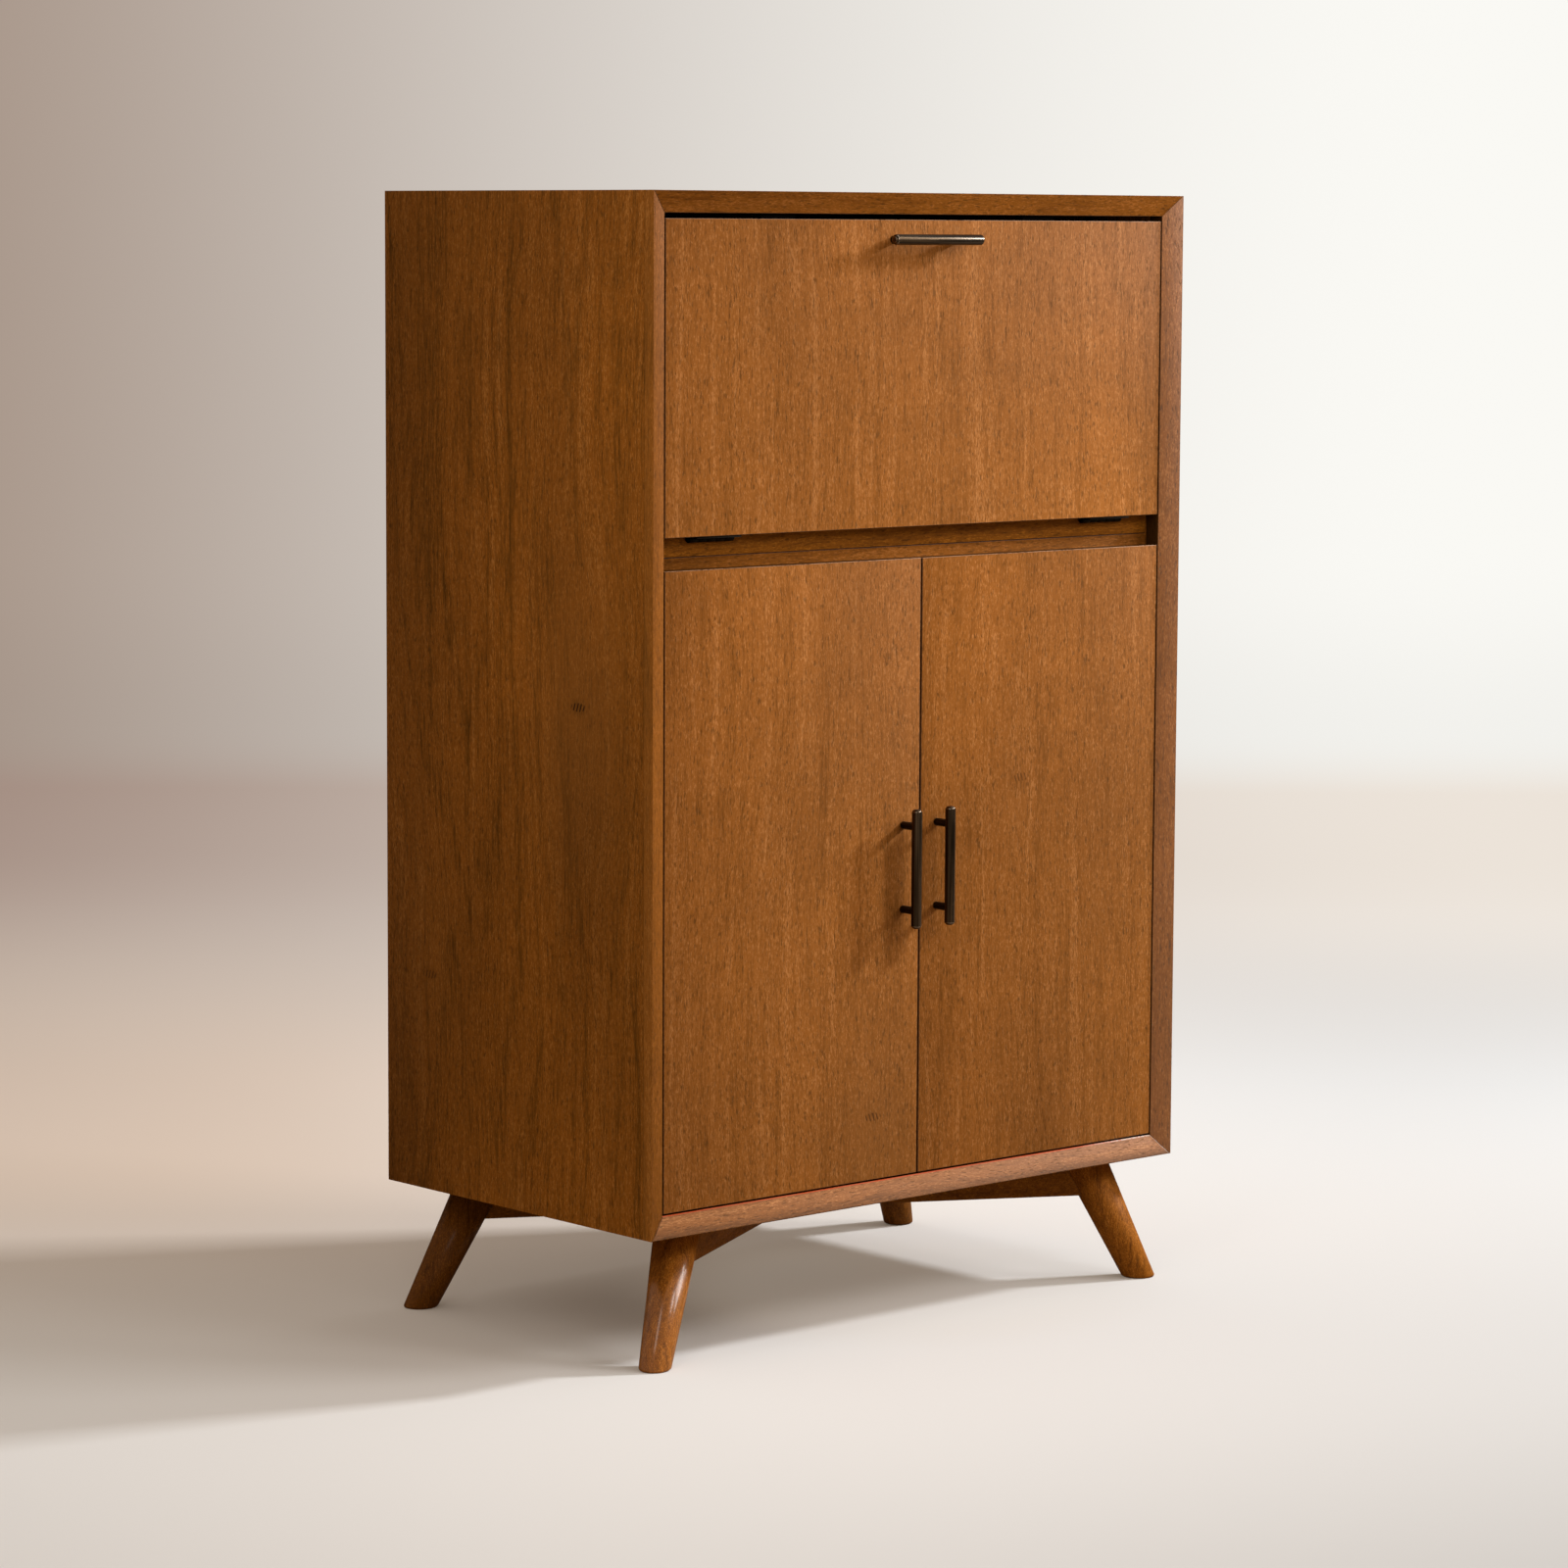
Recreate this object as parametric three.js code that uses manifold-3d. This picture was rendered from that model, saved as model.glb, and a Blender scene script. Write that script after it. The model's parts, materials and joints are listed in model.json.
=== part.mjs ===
// Bar cabinet with a fold out shelf: a mitred wooden case on a splayed base, with a drop flap
// over two doors. Millimetres, +Z up, front towards -Y, origin on the floor under the middle.
import * as THREE from "three";
import { mergeVertices } from "three/addons/utils/BufferGeometryUtils.js";
import Module from "manifold-3d";

const wasm = await Module();
wasm.setup();

// Case
const case_width = 813;
const case_depth = 473;
const case_height = 1139;
const leg_height = 150;
const panel_thickness = 24;
const bevel_depth = 11; // how far the inner edge of the front frame lies behind its outer edge
const back_thickness = 6;
const rabbet_width = 8; // how far the back board reaches into each panel
const seat_gap = 0.2; // between wooden faces that bear on each other

// Fronts
const front_thickness = 20;
const side_gap = 2; // beside the doors and the flap
const split_gap = 2.5; // between the two doors
const door_bottom_gap = 2;
const flap_height = 343;
const recess_height = 36; // open band between the doors and the flap
const flap_top_gap = 6;

// Inside
const floor_thickness = 22;
const rail_height = 45;
const rail_thickness = 20;
const shelf_thickness = 18;
const shelf_setback = 60; // front edge of the shelf behind the front of the case
const shelf_back_gap = 5;
const shelf_side_gap = 1.6;
const shelf_level = 352; // underside of the shelf over the bottom of the case

// Shelf pins and their holes
const pin_radius = 2.5;
const pin_hole_radius = 2.8;
const pin_hole_depth = 10;
const pin_insert = 9;
const pin_reach = 9;
const pin_head_radius = 3.2;
const pin_inset = 45; // from the front and back edges of the shelf
const pin_hole_pitch = 32;
const pin_hole_rows = 3;

// Base
const leg_top_radius = 26.5;
const leg_foot_radius = 18;
const foot_inset_x = 25.5; // middle of each foot inside the sides of the case
const foot_inset_y = 25; // and inside its front and back
const leg_splay = 26; // degrees from upright, outwards along the diagonal
const leg_facets = 28;
const brace_height = 47;
const brace_thickness = 20;
const saddle_gap = 0.3;

// Bar handles
const handle_length = 136;
const handle_radius = 6;
const handle_end_round = 2.5;
const post_spacing = 96;
const post_radius = 4.5;
const handle_standoff = 23; // middle of the bar in front of the wood
const door_handle_level = 380; // over the bottom of the case
const door_handle_from_split = 26;
const flap_handle_drop = 22; // under the top edge of the flap

// Flap hinges: the axis lies under the flap's rear bottom edge
const flap_axis_drop = 4;
const flap_axis_inset = 3.2;
const flap_hinge_length = 64;
const flap_hinge_from_end = 78.5; // middle of each hinge from the end of the flap
const knuckle_radius = 3.5;
const knuckle_count = 5;
const knuckle_gap = 0.3;
const knuckle_bore = 1.65;
const hinge_pin_radius = 1.5;
const hinge_pin_head_radius = 2.6;
const hinge_pin_head = 1;
const leaf_thickness = 1.8;
const leaf_width = 15.5;
const leaf_top = 3.4; // top face of both leaves over the axis
const leaf_relief = 0.4; // leaf edge to the other leaf's knuckles
const mortise_gap = 0.25;

// Flap stays: four equal-sided pivots, so that the arm turns with the flap
const stay_pivot_back = 192.7; // fixed pivot behind the hinge axis
const stay_pivot_up = 86.4; // and above it
const bracket_pivot_back = 12.6; // pivot on the closed flap behind the hinge axis
const bracket_pivot_from_top = 110.5; // and below the top edge of the flap
const stay_strip_thickness = 3;
const stay_strip_radius = 7;
const stay_strip_gap = 0.5;
const stay_housing_thickness = 10;
const stay_housing_length = 84;
const stay_housing_height = 40;
const stay_housing_round = 8;
const stay_pin_radius = 3;
const stay_pin_clearance = 0.3;
const stay_hub_radius = 5;
const bracket_plate_thickness = 2.5;
const bracket_plate_length = 44;
const bracket_plate_width = 11;

// Magnetic catches under the top panel, which also stop the flap from swinging in
const catch_from_end = 180.5; // middle of each catch from the end of the flap
const catch_length = 50;
const catch_depth = 15;
const catch_height = 16;
const catch_gap = 0.3;
const striker_length = 40;
const striker_height = 12;
const striker_thickness = 1.2;
const striker_drop = 1; // under the top edge of the flap

// Concealed door hinges
const cup_radius = 17.5;
const cup_wall = 1.6;
const cup_depth = 11.5;
const cup_base = 1.2;
const cup_from_edge = 22.5;
const cup_bore_gap = 0.25;
const cup_plate_width = 52;
const cup_plate_reach = 12;
const cup_plate_thickness = 1.4;
const hinge_from_door_end = 100;
const arm_plate_thickness = 2.5;
const arm_plate_height = 46;
const arm_plate_length = 26;
const arm_plate_from_door = 28; // plate behind the rear face of the door
const arm_height = 13;
const arm_thickness = 10;
const arm_tip_width = 8;
const arm_tip_into_cup = 7;
const arm_crank_gap = 5; // crank behind the rear face of the door
const arm_tip_from_edge = 28; // middle of the tip from the door's outer edge
const round_facets = 24;
const overrun = 20; // how far cutting shapes run past what they cut

// Levels and planes worked out from the sizes above
const half_width = case_width / 2;
const half_inner = half_width - panel_thickness;
const front_reach = handle_standoff + handle_radius - bevel_depth; // handles in front of the case
const front_y = -case_depth / 2 + front_reach / 2; // the origin is mid-way over the whole depth
const back_y = front_y + case_depth;
const back_board_y = back_y - back_thickness;
const face_y = front_y + bevel_depth; // outer faces of the doors and flap
const rear_face_y = face_y + front_thickness;
const case_bottom = leg_height;
const case_top = case_bottom + case_height;
const inner_bottom = case_bottom + panel_thickness;
const inner_top = case_top - panel_thickness;
const door_bottom = inner_bottom + door_bottom_gap;
const flap_top = inner_top - flap_top_gap;
const flap_bottom = flap_top - flap_height;
const door_top = flap_bottom - recess_height;
const axis_y = rear_face_y - flap_axis_inset;
const axis_z = flap_bottom - flap_axis_drop;
const floor_top = axis_z + flap_axis_inset; // level with the opened flap
const floor_bottom = floor_top - floor_thickness;
const floor_front_y = axis_y + flap_axis_drop;
const flap_half_width = half_inner - side_gap;
const flap_hinge_x = flap_half_width - flap_hinge_from_end;
const catch_x = flap_half_width - catch_from_end;
const shelf_bottom = case_bottom + shelf_level;
const base_top = case_bottom - seat_gap;
const sides = { left: -1, right: 1 };
const ends = { front: -1, rear: 1 };

// Materials
const finish = (color, roughness, metalness) => ({ color, roughness, metalness });
const veneer = finish(0x8a5528, 0.5, 0);
const side_veneer = finish(0x6b3f1c, 0.5, 0);
const inside_veneer = finish(0x7a4b25, 0.55, 0);
const leg_wood = finish(0x6e3813, 0.32, 0);
const bronze = finish(0x2a211c, 0.4, 0.85);
const steel = finish(0x9a9c9e, 0.35, 0.9);
const dark_plastic = finish(0x2b2a29, 0.6, 0);

const cabinet = new THREE.Group();

function place(parent, name, geometry, look) {
  const mesh = new THREE.Mesh(geometry, new THREE.MeshStandardMaterial(look));
  mesh.name = name;
  parent.add(mesh);
  return mesh;
}

// Solids and outlines
function solid(geometry) {
  const bare = geometry.clone();
  bare.deleteAttribute("normal");
  bare.deleteAttribute("uv");
  const merged = mergeVertices(bare);
  const mesh = new wasm.Mesh({
    numProp: 3,
    vertProperties: new Float32Array(merged.attributes.position.array),
    triVerts: new Uint32Array(merged.index.array),
  });
  return new wasm.Manifold(mesh);
}

function geometry_of(body) {
  const mesh = body.getMesh();
  const geometry = new THREE.BufferGeometry();
  geometry.setAttribute("position", new THREE.BufferAttribute(mesh.vertProperties, 3));
  geometry.setIndex(new THREE.BufferAttribute(mesh.triVerts, 1));
  geometry.computeVertexNormals();
  return geometry;
}

function block(x_pair, y_pair, z_pair) {
  const size = [x_pair, y_pair, z_pair].map(([a, b]) => Math.abs(b - a));
  const middle = [x_pair, y_pair, z_pair].map(([a, b]) => (a + b) / 2);
  return new THREE.BoxGeometry(...size).translate(...middle);
}

function shape_of(points) {
  return new THREE.Shape(points.map(([x, y]) => new THREE.Vector2(x, y)));
}

function extrude(shape, length) {
  return new THREE.ExtrudeGeometry(shape, {
    depth: length,
    bevelEnabled: false,
    curveSegments: round_facets / 2,
  });
}

const axis_of = {
  x: new THREE.Vector3(1, 0, 0),
  y: new THREE.Vector3(0, 1, 0),
  z: new THREE.Vector3(0, 0, 1),
};

// An outline of [y, z] points along X, of [z, x] points along Y, or of [x, y] points along Z.
function prism_x(points, [start, end]) {
  const turn = new THREE.Matrix4().makeBasis(axis_of.y, axis_of.z, axis_of.x);
  return extrude(shape_of(points), end - start).applyMatrix4(turn).translate(start, 0, 0);
}

function prism_y(points, [start, end]) {
  const turn = new THREE.Matrix4().makeBasis(axis_of.z, axis_of.x, axis_of.y);
  return extrude(shape_of(points), end - start).applyMatrix4(turn).translate(0, start, 0);
}

function prism_z(points, [start, end]) {
  return extrude(shape_of(points), end - start).translate(0, 0, start);
}

// A round rod between two points; its radii belong to the first and the second point.
function rod(from, to, radius_from, radius_to = radius_from, facets = round_facets) {
  const along = new THREE.Vector3().subVectors(to, from);
  const geometry = new THREE.CylinderGeometry(radius_to, radius_from, along.length(), facets);
  const turn = new THREE.Quaternion().setFromUnitVectors(axis_of.y, along.clone().normalize());
  const middle = new THREE.Vector3().addVectors(from, to).multiplyScalar(1 / 2);
  return geometry.applyQuaternion(turn).translate(middle.x, middle.y, middle.z);
}

const point = (x, y, z) => new THREE.Vector3(x, y, z);

// Case panels, mitred at the four corners
function add_side_panel(side, s) {
  const inner_x = s * half_inner;
  const outer_x = s * half_width;
  const rabbet_x = s * (half_inner + rabbet_width);
  const rabbet_y = back_board_y - seat_gap;
  const plan = [
    [outer_x, front_y],
    [inner_x, face_y],
    [inner_x, rabbet_y],
    [rabbet_x, rabbet_y],
    [rabbet_x, back_y],
    [outer_x, back_y],
  ];
  const mitred = [
    [case_bottom, outer_x],
    [inner_bottom, inner_x],
    [inner_top, inner_x],
    [case_top, outer_x],
  ];
  let body = solid(prism_z(plan, [case_bottom, case_top]));
  body = body.intersect(solid(prism_y(mitred, [front_y - overrun, back_y + overrun])));
  for (const y of pin_rows())
    for (let row = 0; row < pin_hole_rows; row++) {
      const z = pin_level() + (row - (pin_hole_rows - 1) / 2) * pin_hole_pitch;
      const mouth = point(s * (half_inner - overrun), y, z);
      const end = point(s * (half_inner + pin_hole_depth), y, z);
      body = body.subtract(solid(rod(mouth, end, pin_hole_radius)));
    }
  place(cabinet, `side_panel_${side}`, geometry_of(body), side_veneer);
}

function add_level_panel(name, outer_z, inner_z, look) {
  const rabbet_z = inner_z + Math.sign(outer_z - inner_z) * rabbet_width;
  const rabbet_y = back_board_y - seat_gap;
  const section = [
    [front_y, outer_z],
    [back_y, outer_z],
    [back_y, rabbet_z],
    [rabbet_y, rabbet_z],
    [rabbet_y, inner_z],
    [face_y, inner_z],
  ];
  const outer_x = half_width - seat_gap;
  const inner_x = half_inner - seat_gap;
  const mitred = [
    [outer_z, -outer_x],
    [inner_z, -inner_x],
    [inner_z, inner_x],
    [outer_z, outer_x],
  ];
  const length = solid(prism_x(section, [-half_width, half_width]));
  const ends_cut = solid(prism_y(mitred, [front_y - overrun, back_y + overrun]));
  place(cabinet, name, geometry_of(length.intersect(ends_cut)), look);
}

function add_back_board() {
  const x = half_inner + rabbet_width - seat_gap;
  const z_pair = [inner_bottom - rabbet_width + seat_gap, inner_top + rabbet_width - seat_gap];
  place(cabinet, "back_board", block([-x, x], [back_board_y, back_y], z_pair), inside_veneer);
}

// The floor of the upper compartment, with a mortise for each fixed hinge leaf
function add_compartment_floor() {
  const x = half_inner - seat_gap;
  const y_pair = [floor_front_y, back_board_y - seat_gap];
  let body = solid(block([-x, x], y_pair, [floor_bottom, floor_top]));
  const leaf_bottom = axis_z + leaf_top - leaf_thickness;
  for (const s of Object.values(sides)) {
    const middle = s * flap_hinge_x;
    const reach = flap_hinge_length / 2 + mortise_gap;
    const x_pair = [middle - reach, middle + reach];
    const y_cut = [floor_front_y - overrun, axis_y + leaf_width + mortise_gap];
    const z_cut = [leaf_bottom - mortise_gap, floor_top + overrun];
    body = body.subtract(solid(block(x_pair, y_cut, z_cut)));
  }
  place(cabinet, "compartment_floor", geometry_of(body), inside_veneer);
}

function add_door_rail() {
  const x = half_inner - seat_gap;
  const top = floor_bottom - seat_gap;
  const y_pair = [floor_front_y, floor_front_y + rail_thickness];
  place(cabinet, "door_rail", block([-x, x], y_pair, [top - rail_height, top]), inside_veneer);
}

// Adjustable shelf on four pins
const shelf_front_y = front_y + shelf_setback;
const shelf_back_y = back_board_y - shelf_back_gap;

function pin_rows() {
  return [shelf_front_y + pin_inset, shelf_back_y - pin_inset];
}

function pin_level() {
  return shelf_bottom - pin_head_radius - seat_gap;
}

function add_shelf() {
  const x = half_inner - shelf_side_gap;
  const z_pair = [shelf_bottom, shelf_bottom + shelf_thickness];
  const y_pair = [shelf_front_y, shelf_back_y];
  place(cabinet, "adjustable_shelf", block([-x, x], y_pair, z_pair), inside_veneer);
}

function add_shelf_pin(side, s, end, y) {
  const z = pin_level();
  const face = half_inner - seat_gap;
  const insert = rod(point(s * face, y, z), point(s * (half_inner + pin_insert), y, z), pin_radius);
  const reach = rod(point(s * (half_inner - pin_reach), y, z), point(s * face, y, z), pin_head_radius);
  const body = solid(insert).add(solid(reach));
  place(cabinet, `shelf_pin_${side}_${end}`, geometry_of(body), steel);
}

// Base: four splayed legs and two braces that cross on the diagonals
const splay_slope = Math.tan(THREE.MathUtils.degToRad(leg_splay));
const foot_x = half_width - foot_inset_x;
const foot_y = case_depth / 2 - foot_inset_y;
const diagonal = Math.atan2(foot_y, foot_x);

function on_diagonal(s_x, s_y, z) {
  const reach = Math.hypot(foot_x, foot_y) - z * splay_slope;
  return point(s_x * reach * Math.cos(diagonal), base_y + s_y * reach * Math.sin(diagonal), z);
}

const base_y = front_y + case_depth / 2;

function leg_cone(s_x, s_y, grow) {
  const taper = (leg_top_radius - leg_foot_radius) / leg_height;
  const low = -overrun;
  const high = leg_height + overrun;
  const radius_at = (z) => leg_foot_radius + taper * z + grow;
  const from = on_diagonal(s_x, s_y, low);
  const to = on_diagonal(s_x, s_y, high);
  return solid(rod(from, to, radius_at(low), radius_at(high), leg_facets));
}

function add_leg(side, s_x, end, s_y) {
  const x_pair = [-case_width, case_width];
  const slab = solid(block(x_pair, [-case_width, case_width], [0, base_top]));
  place(cabinet, `leg_${end}_${side}`, geometry_of(leg_cone(s_x, s_y, 0).intersect(slab)), leg_wood);
}

function brace_block(tilt, thickness, z_pair) {
  const reach = Math.hypot(foot_x, foot_y) - case_bottom * splay_slope;
  return block([-reach, reach], [-thickness / 2, thickness / 2], z_pair)
    .rotateZ(tilt)
    .translate(0, base_y, 0);
}

// The two braces are half lapped where they cross: one is notched from below, one from above.
function add_brace(name, s, other_notch) {
  const z_pair = [case_bottom - brace_height, base_top];
  let body = solid(brace_block(s * diagonal, brace_thickness, z_pair));
  const notch_thickness = brace_thickness + 2 * saddle_gap;
  body = body.subtract(solid(brace_block(-s * diagonal, notch_thickness, other_notch)));
  body = body.subtract(leg_cone(1, s, saddle_gap)).subtract(leg_cone(-1, -s, saddle_gap));
  place(cabinet, name, geometry_of(body), leg_wood);
}

function add_braces() {
  const lap = case_bottom - brace_height / 2;
  add_brace("brace_front_left_to_rear_right", 1, [lap - saddle_gap, case_bottom + overrun]);
  add_brace("brace_front_right_to_rear_left", -1, [case_bottom - brace_height - overrun, lap]);
}

// A bar handle: the bar and its two posts, all pointing to -Y from the wooden face
function add_handle(name, middle_x, middle_z, upright) {
  const bar_y = face_y - handle_standoff;
  const along = upright ? axis_of.z : axis_of.x;
  const middle = point(middle_x, bar_y, middle_z);
  const at = (distance) => middle.clone().addScaledVector(along, distance);
  const half = handle_length / 2;
  const profile = [
    [0, -half],
    [handle_radius - handle_end_round, -half],
    [handle_radius, -half + handle_end_round],
    [handle_radius, half - handle_end_round],
    [handle_radius - handle_end_round, half],
    [0, half],
  ].map(([r, y]) => new THREE.Vector2(r, y));
  const turned = new THREE.LatheGeometry(profile, round_facets);
  const turn = new THREE.Quaternion().setFromUnitVectors(axis_of.y, along);
  turned.applyQuaternion(turn).translate(middle.x, middle.y, middle.z);
  place(cabinet, `${name}_bar`, turned, bronze);
  const clear = handle_radius + saddle_gap / 2;
  const bar_room = solid(rod(at(-half - overrun), at(half + overrun), clear));
  const post_names = upright ? ["lower", "upper"] : ["left", "right"];
  post_names.forEach((post_name, i) => {
    const top = at((i - 1 / 2) * post_spacing);
    const foot = top.clone().setY(face_y - seat_gap);
    const post = solid(rod(foot, top, post_radius)).subtract(bar_room);
    place(cabinet, `${name}_post_${post_name}`, geometry_of(post), bronze);
  });
}

// Flap and its hinges
function add_flap() {
  const x_pair = [-flap_half_width, flap_half_width];
  place(cabinet, "flap_panel", block(x_pair, [face_y, rear_face_y], [flap_bottom, flap_top]), veneer);
  add_handle("flap_handle", 0, flap_top - flap_handle_drop, false);
}

// One leaf: s_y is +1 for the leaf behind the axis and -1 for the leaf in front of it.
function hinge_leaf(middle, s_y, knuckles) {
  const pitch = flap_hinge_length / knuckle_count;
  const z_pair = [axis_z + leaf_top - leaf_thickness, axis_z + leaf_top];
  const plate_edge = axis_y + s_y * (knuckle_radius + leaf_relief);
  const half = flap_hinge_length / 2;
  const y_pair = [plate_edge, axis_y + s_y * leaf_width];
  let body = solid(block([middle - half, middle + half], y_pair, z_pair));
  for (const k of knuckles) {
    const start = middle - half + k * pitch + knuckle_gap / 2;
    const end = start + pitch - knuckle_gap;
    const barrel = rod(point(start, axis_y, axis_z), point(end, axis_y, axis_z), knuckle_radius);
    body = body.add(solid(barrel));
    body = body.add(solid(block([start, end], [axis_y, axis_y + s_y * (knuckle_radius + 2 * leaf_relief)], z_pair)));
  }
  const bore_from = point(middle - half - overrun, axis_y, axis_z);
  const bore_to = point(middle + half + overrun, axis_y, axis_z);
  return body.subtract(solid(rod(bore_from, bore_to, knuckle_bore)));
}

function add_flap_hinge(side, s) {
  const middle = s * flap_hinge_x;
  const half = flap_hinge_length / 2 + knuckle_gap;
  const odd = [];
  const even = [];
  for (let k = 0; k < knuckle_count; k++) (k % 2 ? odd : even).push(k);
  const name = `flap_hinge_${side}`;
  place(cabinet, `${name}_fixed_leaf`, geometry_of(hinge_leaf(middle, 1, even)), bronze);
  place(cabinet, `${name}_moving_leaf`, geometry_of(hinge_leaf(middle, -1, odd)), bronze);
  const pin_at = (x) => point(x, axis_y, axis_z);
  let pin = solid(rod(pin_at(middle - half), pin_at(middle + half), hinge_pin_radius));
  for (const e of [-1, 1]) {
    const head = [middle + e * half, middle + e * (half + hinge_pin_head)].sort((a, b) => a - b);
    pin = pin.add(solid(rod(pin_at(head[0]), pin_at(head[1]), hinge_pin_head_radius)));
  }
  place(cabinet, `${name}_pin`, geometry_of(pin), bronze);
}

// Flap stays. The strips lie in their own planes, counted from the side panel inwards.
const housing_inner = half_inner - seat_gap - stay_housing_thickness;
const arm_plane = [housing_inner - stay_strip_gap - stay_strip_thickness, housing_inner - stay_strip_gap];
const link_plane = arm_plane.map((x) => x - stay_strip_gap - stay_strip_thickness);
const stay_fixed = { y: axis_y + stay_pivot_back, z: axis_z + stay_pivot_up };
const stay_bracket = { y: axis_y + bracket_pivot_back, z: flap_top - bracket_pivot_from_top };
const stay_elbow = {
  y: stay_fixed.y + bracket_pivot_back,
  z: stay_fixed.z + stay_bracket.z - axis_z,
};
const in_plane = (s, [low, high]) => [s * low, s * high].sort((a, b) => a - b);

function stay_pin(s, pivot, x_from, x_to, radius) {
  return solid(rod(point(s * x_from, pivot.y, pivot.z), point(s * x_to, pivot.y, pivot.z), radius));
}

function stay_strip(s, plane, from, to, hole_from, hole_to) {
  const run = new THREE.Vector2(to.y - from.y, to.z - from.z);
  const length = run.length();
  const outline = new THREE.Shape();
  outline.absarc(0, 0, stay_strip_radius, Math.PI / 2, (3 * Math.PI) / 2, false);
  outline.absarc(length, 0, stay_strip_radius, -Math.PI / 2, Math.PI / 2, false);
  outline.closePath();
  const holes = { from: [0, hole_from], to: [length, hole_to] };
  for (const [x, radius] of Object.values(holes)) {
    if (!radius) continue;
    const hole = new THREE.Path();
    hole.absarc(x, 0, radius, 0, 2 * Math.PI, true);
    outline.holes.push(hole);
  }
  run.normalize();
  const along = point(0, run.x, run.y);
  const across = new THREE.Vector3().crossVectors(axis_of.x, along);
  const turn = new THREE.Matrix4().makeBasis(along, across, axis_of.x);
  const strip = extrude(outline, stay_strip_thickness).applyMatrix4(turn);
  return strip.translate(in_plane(s, plane)[0], from.y, from.z);
}

function add_flap_stay(side, s) {
  const name = `flap_stay_${side}`;
  const x_pair = in_plane(s, [housing_inner, half_inner - seat_gap]);
  const z = stay_fixed.z;
  const y_pair = [stay_fixed.y - stay_housing_length / 2, stay_fixed.y + stay_housing_length / 2];
  const z_pair = [z - stay_housing_height / 2, z + stay_housing_height / 2];
  const r = stay_housing_round;
  const outline = [
    [y_pair[0] + r, z_pair[0]],
    [y_pair[1] - r, z_pair[0]],
    [y_pair[1], z_pair[0] + r],
    [y_pair[1], z_pair[1] - r],
    [y_pair[1] - r, z_pair[1]],
    [y_pair[0] + r, z_pair[1]],
    [y_pair[0], z_pair[1] - r],
    [y_pair[0], z_pair[0] + r],
  ];
  let housing = solid(prism_x(outline, x_pair));
  housing = housing.add(stay_pin(s, stay_fixed, housing_inner + stay_strip_gap, arm_plane[0], stay_hub_radius));
  place(cabinet, `${name}_housing`, geometry_of(housing), dark_plastic);

  const hub_hole = stay_hub_radius + stay_pin_clearance;
  const pin_hole = stay_pin_radius + stay_pin_clearance;
  const arm = stay_strip(s, arm_plane, stay_fixed, stay_elbow, hub_hole, 0);
  const elbow_pin = stay_pin(s, stay_elbow, arm_plane[1], link_plane[0], stay_pin_radius);
  place(cabinet, `${name}_arm`, geometry_of(solid(arm).add(elbow_pin)), steel);
  const link = stay_strip(s, link_plane, stay_elbow, stay_bracket, pin_hole, pin_hole);
  place(cabinet, `${name}_link`, link, steel);

  const ear_y = [rear_face_y + seat_gap, stay_bracket.y + stay_strip_radius];
  const ear_z = [stay_bracket.z - stay_strip_radius, stay_bracket.z + stay_strip_radius];
  const plate_x = in_plane(s, [arm_plane[0], arm_plane[0] + bracket_plate_width]);
  const plate_y = [rear_face_y + seat_gap, rear_face_y + seat_gap + bracket_plate_thickness];
  const plate_z = [stay_bracket.z - bracket_plate_length / 2, stay_bracket.z + bracket_plate_length / 2];
  const bracket = solid(block(plate_x, plate_y, plate_z))
    .add(solid(block(in_plane(s, arm_plane), ear_y, ear_z)))
    .add(stay_pin(s, stay_bracket, arm_plane[1], link_plane[0], stay_pin_radius));
  place(cabinet, `${name}_bracket`, geometry_of(bracket), steel);
}

function add_flap_catch(side, s) {
  const striker_x = [s * catch_x - striker_length / 2, s * catch_x + striker_length / 2];
  const striker_y = [rear_face_y + seat_gap, rear_face_y + seat_gap + striker_thickness];
  const striker_top = flap_top - striker_drop;
  const striker = block(striker_x, striker_y, [striker_top - striker_height, striker_top]);
  place(cabinet, `flap_catch_${side}_striker`, striker, steel);
  const x_pair = [s * catch_x - catch_length / 2, s * catch_x + catch_length / 2];
  const y_pair = [striker_y[1] + catch_gap, striker_y[1] + catch_gap + catch_depth];
  const top = inner_top - seat_gap;
  const body = block(x_pair, y_pair, [top - catch_height, top]);
  place(cabinet, `flap_catch_${side}_magnet`, body, dark_plastic);
}

// Doors and their concealed hinges
function hinge_levels() {
  return { lower: door_bottom + hinge_from_door_end, upper: door_top - hinge_from_door_end };
}

function add_door(side, s) {
  const edges = [s * (split_gap / 2), s * flap_half_width].sort((a, b) => a - b);
  let body = solid(block(edges, [face_y, rear_face_y], [door_bottom, door_top]));
  const x = s * (flap_half_width - cup_from_edge);
  for (const z of Object.values(hinge_levels())) {
    const bottom = point(x, rear_face_y - cup_depth - cup_bore_gap, z);
    const mouth = point(x, rear_face_y + overrun, z);
    body = body.subtract(solid(rod(bottom, mouth, cup_radius + cup_bore_gap, undefined, leg_facets)));
  }
  place(cabinet, `door_${side}`, geometry_of(body), veneer);
  const handle_x = s * door_handle_from_split;
  add_handle(`door_handle_${side}`, handle_x, case_bottom + door_handle_level, true);
}

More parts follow.
